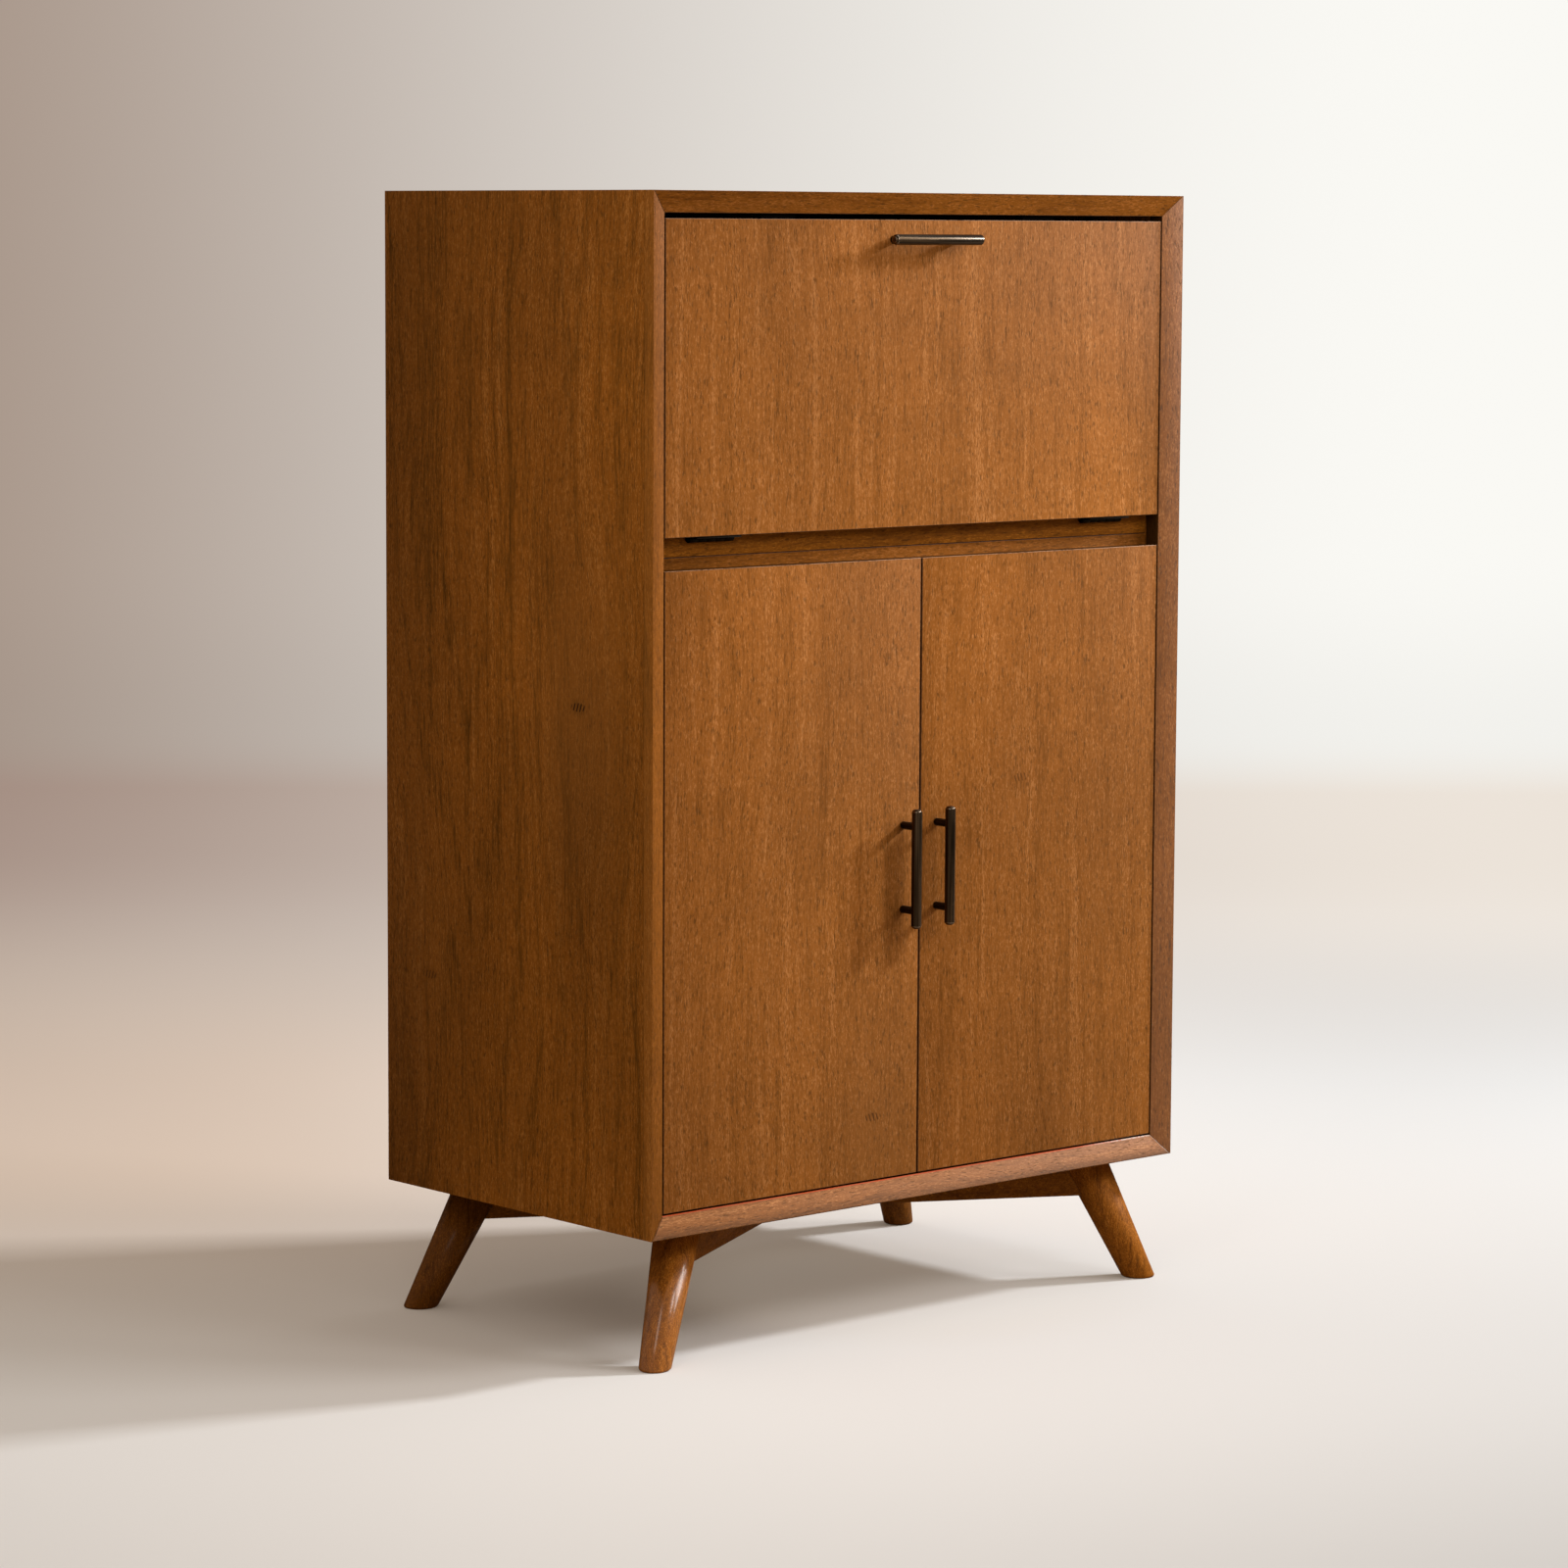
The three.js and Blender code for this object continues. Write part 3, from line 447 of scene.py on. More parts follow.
def metal(name, base, worn, brush, rough, fineness=700, streaks=0.22):
    """Satin metal, brushed along one axis, with brighter rubbed spots."""
    material, tree, shader = new_material(name, {"Metallic": 1.0})
    place = object_place(tree)
    scale = tuple(fineness / 50 if axis == brush else fineness for axis in (ALONG_X, ALONG_Y, ALONG_Z))
    lines = noise(tree, stretched(tree, place, scale), 1.0, 3.0, 0.6)
    spots = noise(tree, place, 95.0, 4.0, 0.65)
    tone = blended(tree, mapped(tree, lines, 0.32, 0.68, 0.0, streaks), base, worn)
    tone = blended(tree, mapped(tree, spots, 0.6, 0.8, 0.0, 0.4), tone, worn)
    spread = plus(tree, times(tree, minus(tree, lines, 0.5), 0.28), rough)
    wear = times(tree, minus(tree, spots, 0.5), 0.18)
    connect(tree, shader, tone, plus(tree, spread, wear), 0.12, 0.0002, lines)
    return material


def moulded(name, base, rough):
    """Moulded plastic or pressed felt with a fine grain."""
    material, tree, shader = new_material(name, {"Specular IOR Level": 0.05})
    place = object_place(tree)
    grain = noise(tree, place, 900.0, 2.0, 0.5)
    dust = noise(tree, place, 60.0, 4.0, 0.6)
    tone = blended(tree, mapped(tree, dust, 0.4, 0.75, 0.0, 0.6), base, toned(base, 1.6))
    rough = mapped(tree, grain, 0.3, 0.7, rough - 0.08, rough + 0.08)
    connect(tree, shader, tone, rough, 0.3, 0.0003, grain)
    return material


def finish_of(name):
    """One material for each kind of metal, plastic and felt, made when it is first used."""
    found = bpy.data.materials.get(name)
    if found:
        return found
    colours = bpy.context.scene.cabinet_colours
    bronze, worn, steel = colours.bronze, colours.bronze_worn, colours.steel
    dull_steel = toned(steel, 0.55)
    finishes = {
        "bronze_bar_level": (metal, bronze, worn, ALONG_X, 0.34, 330, 0.7),
        "bronze_bar_upright": (metal, bronze, worn, ALONG_Z, 0.34, 330, 0.7),
        "bronze_post": (metal, bronze, worn, ALONG_Y, 0.4),
        "bronze_leaf": (metal, toned(bronze, 0.4), bronze, ALONG_X, 0.5),
        "bronze_rim": (metal, worn, steel, ALONG_X, 0.22),
        "nickel_fitting": (metal, dull_steel, steel, ALONG_Z, 0.34),
        "nickel_screw": (metal, dull_steel, steel, ALONG_X, 0.3),
        "black_plastic": (moulded, colours.plastic, 0.52),
        "brown_felt": (moulded, colours.felt, 0.92),
    }
    maker, *look = finishes[name]
    return maker(name, *look)


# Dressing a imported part: its shape stays, its edges are broken and its finish is set
def add_modifier(part, name, kind, **settings):
    made = part.modifiers.new(name, kind)
    for field, value in settings.items():
        setattr(made, field, value)


def soften(part, width, segments=2, edge_material=False, limit=35):
    add_modifier(part, "weld", "WELD", merge_threshold=0.00001)
    add_modifier(part, "merge_flat_faces", "DECIMATE", decimate_type="DISSOLVE", angle_limit=math.radians(0.4))
    add_modifier(
        part, "broken_edges", "BEVEL", width=width, segments=segments, limit_method="ANGLE",
        angle_limit=math.radians(limit), use_clamp_overlap=True, miter_outer="MITER_ARC", harden_normals=True,
        material=1 if edge_material else -1,
    )


def dress(node, *materials):
    part = nodes[node]
    part.data.materials.clear()
    for material in materials:
        part.data.materials.append(material)
    for face in part.data.polygons:
        face.material_index = 0
        face.use_smooth = True
    return part


def board(node, material, edge, width, face=None, banding=None):
    """Finishes a board; face is the finish of its slanted front edge, and the last finish that of its narrow sides,
    which on the fronts is dark as painted shade in the gaps.
    """
    part = dress(node, material, edge, *(finish for finish in (face, banding) if finish))
    for side in part.data.polygons:
        if face and -0.98 < side.normal.y < -0.5 or banding and abs(side.normal.y) < 0.1:
            side.material_index = 2
    soften(part, width, edge_material=True)


def finish_fitting(node, finish, edges=1, segments=2):
    """Finishes a fitting and rounds its edges, by so many times the usual rounding."""
    soften(dress(node, finish_of(finish)), edges * bpy.context.scene.cabinet_sizes.metal_edge, segments)


def placed(name, data, matrix=None):
    """A new object of the scene, at the origin or where the matrix says."""
    made = bpy.data.objects.new(name, data)
    made.matrix_world = matrix or Matrix()
    bpy.context.scene.collection.objects.link(made)
    return made


# Small fittings built as meshes
def mesh_object(name, bm, finish, body):
    mesh = bpy.data.meshes.new(name)
    bmesh.ops.recalc_face_normals(bm, faces=bm.faces)
    bm.to_mesh(mesh)
    bm.free()
    mesh.materials.append(finish_of(finish))
    made = placed(name, mesh)
    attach(made, body)


def facing(place, direction, spin=0.0):
    """A matrix that puts a fitting's +Z along direction at place."""
    turn = Vector(direction).to_track_quat("Z", "Y").to_matrix().to_4x4()
    return Matrix.Translation(place) @ turn @ Matrix.Rotation(spin, 4, "Z")


def on_circle(radius, step, steps, height):
    a = 2 * math.pi * step / steps
    return radius * math.cos(a), radius * math.sin(a), height


def bridge(bm, low, high, smooth=False):
    """Faces between two rings of points, of which one may be a single point."""
    steps = max(len(low), len(high))
    for i in range(steps):
        j = (i + 1) % steps
        corners = low[i % len(low)], low[j % len(low)], high[j % len(high)], high[i % len(high)]
        bm.faces.new(list(dict.fromkeys(corners))).smooth = smooth


def add_screw(bm, radius, dome, matrix):
    """A low screw head with a cross recess, its underside on the local XY plane."""
    rim, cross, rings = 20, [], []
    arm, half = 0.58 * radius, 0.15 * radius
    for quarter in range(4):
        turn = Matrix.Rotation(quarter * math.pi / 2, 3, "Z")
        cross += [turn @ Vector(corner) for corner in ((arm, -half, 0), (arm, half, 0), (half, half, 0))]
    for share, level in ((1.0, 0.0), (0.97, 0.45), (0.84, 0.85)):
        rings.append([bm.verts.new(on_circle(share * radius, i, rim, level * dome)) for i in range(rim)])
    mouth = [bm.verts.new((p.x, p.y, dome)) for p in cross]
    pit = [bm.verts.new((0.8 * p.x, 0.8 * p.y, 0.25 * dome)) for p in cross]
    for low, high in (*zip(rings, rings[1:]), (pit, mouth)):
        bridge(bm, low, high)
    bm.faces.new(pit)
    bm.faces.new(rings[0][::-1])
    borders = [(a, b) for ring in (rings[-1], mouth) for a, b in zip(ring, ring[1:] + ring[:1])]
    bmesh.ops.triangle_fill(bm, use_beauty=True, edges=[bm.edges.get(border) for border in borders])
    bmesh.ops.transform(bm, matrix=matrix, verts=[v for ring in (*rings, mouth, pit) for v in ring])


def add_screws(name, body, way, spots, radius, finish="nickel_screw"):
    """Screws as one fitting, their heads facing one way; a spot is a place, the cross's turn and the dome."""
    bm = bmesh.new()
    for place, spin, dome in spots:
        add_screw(bm, radius, dome, facing(place, way, spin))
    mesh_object(name, bm, finish, body)


def add_turned(bm, profile, matrix, steps=24):
    """A turned piece from (radius, height) pairs that start and end on the axis."""
    rings = []
    for radius, height in profile:
        count = steps if radius else 1
        rings.append([bm.verts.new(on_circle(radius, i, steps, height)) for i in range(count)])
    for low, high in zip(rings, rings[1:]):
        bridge(bm, low, high, smooth=True)
    bmesh.ops.transform(bm, matrix=matrix, verts=[v for ring in rings for v in ring])


# Operators
class CABINET_OT_studio(bpy.types.Operator):
    """Makes the camera, floor, backdrop and lamps"""

    bl_idname = "cabinet.studio"
    bl_label = "Studio"

    def execute(self, context):
        settings = context.scene.cabinet_studio
        self.add_camera(context, settings)
        self.add_floor_and_wall(settings)
        self.add_lamps(context, settings)
        context.scene.view_settings.view_transform = "Standard"
        return {"FINISHED"}

    def add_camera(self, context, settings):
        data = bpy.data.cameras.new("camera")
        data.lens = settings.focal_length
        data.sensor_width = 36
        azimuth, pitch, roll = (math.radians(a) for a in (VIEW_AZIMUTH, VIEW_PITCH, VIEW_ROLL))
        turn = Euler((math.pi / 2 + pitch, 0, -azimuth)).to_matrix() @ Matrix.Rotation(roll, 3, "Z")
        context.scene.camera = placed("camera", data, Matrix.Translation(CAMERA_PLACE) @ turn.to_4x4())

    def add_floor_and_wall(self, settings):
        """A floor that curves up into a wall, square to the camera's view."""
        azimuth = math.radians(VIEW_AZIMUTH)
        ahead = Vector((math.sin(azimuth), math.cos(azimuth), 0))
        across = Vector((math.cos(azimuth), -math.sin(azimuth), 0))
        reach, bend, rise, width = 5.2, 0.9, 5.0, 14.0
        profile = [(-9.0, 0.0), (-3.0, 0.0), (0.0, 0.0), (2.5, 0.0)]
        bend_steps = 16
        for step in range(bend_steps + 1):
            a = math.pi / 2 * step / bend_steps
            profile.append((reach + bend * math.sin(a), bend * (1 - math.cos(a))))
        profile.append((reach + bend, rise))
        bm = bmesh.new()
        rows = [
            [bm.verts.new(ahead * d + across * w + Vector((0, 0, z))) for d, z in profile] for w in (-width, 0, width)
        ]
        for first, second in zip(rows, rows[1:]):
            for i in range(len(profile) - 1):
                bm.faces.new((first[i], second[i], second[i + 1], first[i + 1])).smooth = True
        mesh = bpy.data.meshes.new("floor_and_wall")
        bm.to_mesh(mesh)
        bm.free()
        floor = placed("floor_and_wall", mesh)
        mesh.materials.append(self.stage_material(settings, ahead, across, reach))

    def stage_material(self, settings, ahead, across, reach):
        """Paper that takes light and shadow near the cabinet and shows a tone of its own farther off; its tones hold
        painted shade, and a painted glow lifts the cabinet's shadow
        """
        material, tree, shader = new_material("studio_paper", {"Roughness": 0.9, "Specular IOR Level": 0.0})
        place = object_place(tree)
        sideways = vector(tree, "DOT_PRODUCT", place, tuple(across), "Value")
        away = vector(tree, "DOT_PRODUCT", place, tuple(ahead), "Value")

        def from_left(start, end, left, right):
            return blended(tree, mapped(tree, sideways, start, end), left, right)

        # Its own tone: the backdrop, the floor at its foot and the floor behind the cabinet. All of it is darker
        # towards the left, painted shade of light that fades to that side, and the backdrop is darker at its foot,
        # painted shade where it meets the floor.
        wall_tone = from_left(-2.6, 1.6, settings.wall_left, settings.wall_right)
        wall_tone = scaled(tree, wall_tone, mapped(tree, axes_of(tree, place)["Z"], 0.05, 0.5, 0.93, 1.0))
        far_tone = from_left(-2.2, 1.6, settings.floor_left, settings.floor_right)
        middle_tone = from_left(-2.0, 1.2, settings.middle_left, settings.middle_right)
        floor_tone = blended(tree, mapped(tree, away, 1.2, 4.2), middle_tone, far_tone)
        tone = blended(tree, mapped(tree, away, reach + 0.02, reach + 0.42), floor_tone, wall_tone)

        # The lit floor around the cabinet, for the camera; other rays meet one darker paper. Its tone is darker on
        # the right, painted shade that evens out the stronger lamplight there, and darker towards the camera, painted
        # fall-off of light.
        near_tone = from_left(-0.4, 1.3, settings.near_left, settings.near_right)
        # Painted shadow: a darker, warmer tone on the left behind the cabinet carries its shadow farther back
        warm_shade_reach = times(tree, mapped(tree, away, -0.6, 0.8), mapped(tree, sideways, 0.5, -0.9))
        near_tone = blended(tree, warm_shade_reach, near_tone, settings.near_warm_shade)
        rise = plus(tree, mapped(tree, away, -1.6, -0.4, 0.84, 1.0), mapped(tree, away, -0.3, 0.9, 0.0, 0.07))
        near_tone = scaled(tree, near_tone, rise)
        rays = add_node(tree, "ShaderNodeLightPath").outputs
        direct = calculate(tree, "MAXIMUM", rays["Is Camera Ray"], rays["Is Transmission Ray"])
        tree.links.new(blended(tree, direct, settings.paper, near_tone), shader.inputs["Base Color"])

        # The share of its own tone, which the floor shows to the camera as a glow: all of it far off, a little in the
        # shade near the cabinet and somewhat more right under the cabinet, where the glow is painted light that lifts
        # the cabinet's shadow.
        under = mapped(tree, vector(tree, "DISTANCE", place, (0.12, -0.06, 0), "Value"), 0.4, 0.15)
        shade = blended(tree, under, settings.shade_tone, settings.under_tone)
        tone = blended(tree, mapped(tree, away, 0.4, 1.6), shade, tone)
        seen = add_node(tree, "ShaderNodeEmission", {"Color": tone, "Strength": 1.0})
        share = calculate(tree, "MAXIMUM", mapped(tree, away, 0.9, 3.4), mapped(tree, under, 0.0, 1.0, 0.13, 0.28))
        mix = add_node(
            tree, "ShaderNodeMixShader", {0: times(tree, direct, share), 1: shader.outputs[0], 2: seen.outputs[0]}
        )
        output = next(n for n in tree.nodes if n.type == "OUTPUT_MATERIAL")
        tree.links.new(mix.outputs[0], output.inputs["Surface"])
        return material

    def add_lamps(self, context, settings):
        target = Vector((0, 0, 0.65))
        lamps = (
            ("key_lamp", (3.04, -1.27, 2.37), (0.45, 0.3), settings.key_power, (0.96, 0.98, 1.0)),
            ("side_box", (3.4, -3.6, 3.5), (1.9, 1.9), settings.box_power, (1.0, 0.98, 0.96)),
            ("front_lamp", (0.36, -2.1, 1.75), (0.5, 0.5), settings.front_power, (1.0, 0.98, 0.95)),
            ("fill_lamp", (-1.7, -1.15, 1.6), (0.5, 0.9), settings.fill_power, (1.0, 0.9, 0.8)),
            ("top_lamp", (0.6, -0.4, 3.4), (2.4, 2.0), settings.top_power, (1.0, 0.985, 0.96)),
        )
        for name, place, size, power, tint in lamps:
            data = bpy.data.lights.new(name, "AREA")
            data.shape = "RECTANGLE"
            data.size, data.size_y = size
            data.energy = power
            data.color = tint
            placed(name, data, facing(place, Vector(place) - target))
        world = bpy.data.worlds.new("studio_air")
        world.use_nodes = True
        back = world.node_tree.nodes["Background"]
        back.inputs["Color"].default_value = (1.0, 0.86, 0.73, 1)
        back.inputs["Strength"].default_value = settings.surround
        context.scene.world = world


class CABINET_OT_case(bpy.types.Operator):
    """Veneers the mitred case and the back board with its nail heads"""

    bl_idname = "cabinet.case"
    bl_label = "Case"

    def execute(self, context):
        sizes = context.scene.cabinet_sizes
        edge = worn_edge("case_edge", "case", (0, 0, 0))
        left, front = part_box("side_panel_left")[0].xy
        lipping = front + sizes.lipping_width
        knots = ((left, -0.101, 0.726), 0.17), ((left, 0.165, 0.4), 0.09)
        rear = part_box("door_left")[1].y
        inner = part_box("side_panel_right")[0].x
        # Painted shade on the inner faces behind the gaps round the fronts
        left_gap_shade, right_gap_shade = ("X", -inner, rear), ("X", inner, rear)
        # The first three zones paint the fall of light on this side: darker along the rear edge and at the rear foot,
        # lighter at the front top. The others make lighter patches above and beside the upper knot and darker ones
        # below it and lower down.
        zones = (
            ((left, 0.245, 0.7), (1, 0.13, 9), -0.2),
            ((left, 0.245, 0.2), (1, 0.25, 0.5), -0.25),
            ((left, -0.2, 1.2), (1, 0.35, 0.45), 0.22),
            ((left, 0.02, 0.93), (1, 0.09, 0.3), 0.22),
            ((left, -0.005, 0.73), (1, 0.11, 0.22), 0.17),
            ((left, -0.112, 0.56), (1, 0.095, 0.38), -0.3),
            ((left, 0.08, 0.35), (1, 0.2, 0.2), -0.15),
        )
        left_veneer = wood(
            "case_left_veneer", "case", ALONG_Z, (0.37, 0.11, 0.05),
            knots=knots, lipping=lipping, painted_gap_shade=left_gap_shade, zones=zones,
        )
        right_veneer = wood(
            "case_right_veneer", "case", ALONG_Z, (1.9, 0.63, 1.4), lipping=lipping, painted_gap_shade=right_gap_shade
        )
        # The left front edge takes the darker stile tones, darker still at its foot: painted shade, which holds down
        # the light that the key lamp throws on this face
        zones = (((-0.395, -0.222, 0.18), (1, 1, 0.5), -0.17),)
        stile = wood("stile_left_wood", "stile", ALONG_Z, (0.9, 0.5, 2.2), 0.3, 0.5, shine=0.04, zones=zones)
        board("side_panel_left", left_veneer, edge, sizes.panel_edge, face=stile)
        # The right front edge takes the front tones lifted, lighter at the top and darker at the foot: painted light
        # on a face that the key lamp misses, a painted sheen at its top and painted shade at its foot
        zones = ((0.395, -0.222, 1.2), (1, 1, 0.4), 0.12), ((0.395, -0.222, 0.18), (1, 1, 0.4), -0.12)
        stile = wood(
            "stile_right_wood", "front", ALONG_Z, (1.4, 1.5, 0.2), 0.3, 0.42, shine=0.75, lift=1.18, zones=zones
        )
        board("side_panel_right", right_veneer, edge, sizes.panel_edge, face=stile)
        under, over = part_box("top_panel")[0].z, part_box("bottom_panel")[1].z
        top = wood("case_top_veneer", "case", ALONG_X, (2.3, 0.2, 3.1), painted_gap_shade=("Z", under, rear))
        bottom = wood("case_bottom_veneer", "case", ALONG_X, (0.8, 1.7, 4.6), painted_gap_shade=("Z", over, rear))
        # The top rail's slanted face, which looks down, takes the darker stile tones: painted shade
        upper = wood("upper_edge_wood", "stile", ALONG_X, (3.3, 2.6, 0.1), 0.4, 0.55, shine=0.02, lift=1.15)
        zones = (((0, -0.2275, 0.15), (9, 1, 0.013), -0.42),)
        lower = wood("lower_edge_wood", "front", ALONG_X, (4.2, 0.6, 1.3), 0.3, 0.5, shine=0.16, zones=zones)
        board("top_panel", top, edge, sizes.panel_edge, face=upper)
        red = worn_edge("rail_edge", "front", (0, 0, 1), 0.12, context.scene.cabinet_colours.red_stain)
        board("bottom_panel", bottom, red, 2 * sizes.panel_edge, face=lower)
        back = wood("back_veneer", "inside", ALONG_Z, (4.1, 2.2, 0.7), gloss=0.6, nailed=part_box("back_board"))
        board("back_board", back, worn_edge("inside_edge", "inside", (1, 0, 0), 0.1), 0.0005)
        return {"FINISHED"}


class CABINET_OT_fronts(bpy.types.Operator):
    """Veneers the flap and the doors"""

    bl_idname = "cabinet.fronts"
    bl_label = "Flap and doors"

    def execute(self, context):
        sizes = context.scene.cabinet_sizes
        edge = worn_edge("front_edge", "front", (0, 2, 0))
        # The fronts' narrow sides are made very dark: painted shade for the gaps around flap and doors
        banding = wood("front_banding", "front", ALONG_Z, (2.2, 3.4, 0.6), 0.2, shine=0.02, lift=0.3)
        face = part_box("door_left")[0].y
        # The flap's top zone is lighter, painted light against the shadow that the top panel's edge casts on it; a
        # darker zone lies at its right end and a lighter patch near it
        zones = (
            ((-0.05, face, 1.26), (0.5, 1, 0.16), 0.12),
            ((0.385, face, 1.04), (0.1, 1, 0.4), -0.22),
            ((0.26, face, 1.16), (0.1, 1, 0.14), 0.12),
        )
        flap = wood("flap_veneer", "front", ALONG_Z, (0.2, 0.4, 0.9), 0.22, zones=zones)
        # The doors are lighter near their tops and darker lower down: painted light and shade of the lamps' fall-off
        zones = (
            ((-0.25, face, 0.9), (0.28, 1, 0.4), 0.18),
            ((-0.06, face, 0.24), (0.17, 1, 0.36), -0.33),
            ((-0.02, face, 0.55), (0.08, 1, 0.5), -0.08),
        )
        knots = (((-0.07, face, 0.248), 0.1),)
        left = wood("door_left_veneer", "front", ALONG_Z, (3.3, 1.2, 2.1), 0.24, knots=knots, zones=zones)
        # Painted light and shade as on the left door
        zones = (
            ((0.08, face, 0.88), (0.16, 1, 0.3), 0.18),
            ((0.36, face, 0.45), (0.16, 1, 0.55), -0.28),
            ((0.22, face, 0.2), (0.17, 1, 0.24), -0.26),
        )
        knots = (((0.16, face, 0.62), 0.08),)
        right = wood("door_right_veneer", "front", ALONG_Z, (5.1, 0.9, 0.3), 0.24, knots=knots, zones=zones)
        for node, material in (("flap_panel", flap), ("door_left", left), ("door_right", right)):
            board(node, material, edge, sizes.panel_edge, banding=banding)
        return {"FINISHED"}


class CABINET_OT_inside(bpy.types.Operator):
    """Finishes the boards, shelf, shelf pins and door buffers inside"""

    bl_idname = "cabinet.inside"
    bl_label = "Inside"

    def execute(self, context):
        sizes = context.scene.cabinet_sizes
        edge = bpy.data.materials["inside_edge"]
        floor = wood("compartment_floor_veneer", "inside", ALONG_X, (1.3, 3.1, 0.4), shine=0.04, lift=1.32)
        # The door rail takes the darker stile tones: painted shade in the recess under the flap
        rail = wood("door_rail_wood", "stile", ALONG_X, (0.5, 2.9, 1.8), 0.35, shine=0.03, lift=1.18)
        shelf = wood("shelf_veneer", "inside", ALONG_X, (2.6, 0.3, 2.2))
        for node, material in (("compartment_floor", floor), ("door_rail", rail), ("adjustable_shelf", shelf)):
            board(node, material, edge, sizes.panel_edge)
        for side in SIDES:
            for end in ("front", "rear"):
                finish_fitting(f"shelf_pin_{side}_{end}", "nickel_fitting")
        self.add_buffers(sizes.buffer_radius)
        return {"FINISHED"}

    def add_buffers(self, r):
        """Felt buffers on the door rail, which reach nearly to the shut doors"""
        from_middle, below_top = 0.055, 0.014
        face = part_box("door_rail")[0].y
        door_back, door_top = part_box("door_left")[1].yz
        gap = face - door_back
        profile = (0, 0), (r, 0), (r, 0.7 * gap), (0.8 * r, 0.9 * gap), (0, 0.9 * gap)
        for side, s in SIDES.items():
            bm = bmesh.new()
            add_turned(bm, profile, facing((s * from_middle, face, door_top - below_top), (0, -1, 0)))
            mesh_object(f"door_buffer_{side}", bm, "brown_felt", "case")


class CABINET_OT_base(bpy.types.Operator):
    """Finishes the legs and the crossed braces"""

    bl_idname = "cabinet.base"
    bl_label = "Base"

    def execute(self, context):
        sizes = context.scene.cabinet_sizes
        # The front legs' tones are lifted, painted light where the lamps reach them; the rear legs' are darkened,
        # painted shade under the cabinet. The coat is the legs' own gloss.
        leg_lift_and_coat = {"leg_front_left": (1.38, 1.0), "leg_front_right": (1.25, 0.0)}
        for i, node in enumerate(sorted(n for n in nodes if n.startswith("leg_"))):
            shift = (0.7 * i + 0.15, 0.31 * i, 0.9 * i)
            lift, coat = leg_lift_and_coat.get(node, (0.66, 0.1))
            material = wood(f"{node}_wood", "leg", ALONG_Z, shift, 0.45, 0.5, coat, scale=2.0, lift=lift)
            self.round_foot(dress(node, material), sizes.foot_round)
        edge = worn_edge("leg_edge", "leg", (0, 0, 3))
        # The braces take the darker inside tones: painted shade under the cabinet
        for i, node in enumerate(sorted(n for n in nodes if n.startswith("brace_"))):
            material = wood(f"{node}_wood", "inside", ALONG_X, (0.4 * i, 0.2, 5.0 + i), 0.7)
            board(node, material, edge, sizes.panel_edge)
        return {"FINISHED"}

    def round_foot(self, leg, width):
        rim = leg.vertex_groups.new(name="foot_rim")
        rim.add([v.index for v in leg.data.vertices if v.co.z < 0.0005], 1.0, "REPLACE")
        soften(leg, width, 5)
        bevel = leg.modifiers["broken_edges"]
        bevel.limit_method = "VGROUP"
        bevel.vertex_group = rim.name


class CABINET_OT_handles(bpy.types.Operator):
    """Finishes the three bar handles"""

    bl_idname = "cabinet.handles"
    bl_label = "Handles"

    def execute(self, context):
        bars = {"flap_handle_bar": "bronze_bar_level"}
        bars.update({f"door_handle_{side}_bar": "bronze_bar_upright" for side in SIDES})
        for node, finish in bars.items():
            bar = dress(node, finish_of(finish), finish_of("bronze_rim"))
            soften(bar, context.scene.cabinet_sizes.bar_rim, edge_material=True, limit=40)
        for node in nodes:
            if "_handle_" in node and "_post_" in node:
                finish_fitting(node, "bronze_post")
        return {"FINISHED"}


class CABINET_OT_flap_hinges(bpy.types.Operator):
    """Finishes the flap's hinges and adds their screws"""

    bl_idname = "cabinet.flap_hinges"
    bl_label = "Flap hinges"

    def execute(self, context):
        radius = context.scene.cabinet_sizes.leaf_screw_radius
        from_edge, pitch, dome = 0.0055, 0.022, 0.0003
        for side in SIDES:
            name = f"flap_hinge_{side}"
            for piece in ("fixed_leaf", "moving_leaf", "pin"):
                finish_fitting(f"{name}_{piece}", "bronze_leaf", 0.5)
            for leaf, body, up, depth in (("fixed", "case", 1, 0.0001), ("moving", "flap", -1, 0.0018)):
                low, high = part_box(f"{name}_{leaf}_leaf")
                y = high.y - from_edge if up > 0 else low.y + from_edge
                middle = Vector(((low.x + high.x) / 2, y, high.z - depth))
                spots = [(middle + Vector((pitch * step, 0, 0)), 1.1 + 0.7 * step, dome) for step in (-1, 0, 1)]
                add_screws(f"{name}_{leaf}_screws", body, (0, 0, up), spots, radius, "bronze_post")
        return {"FINISHED"}


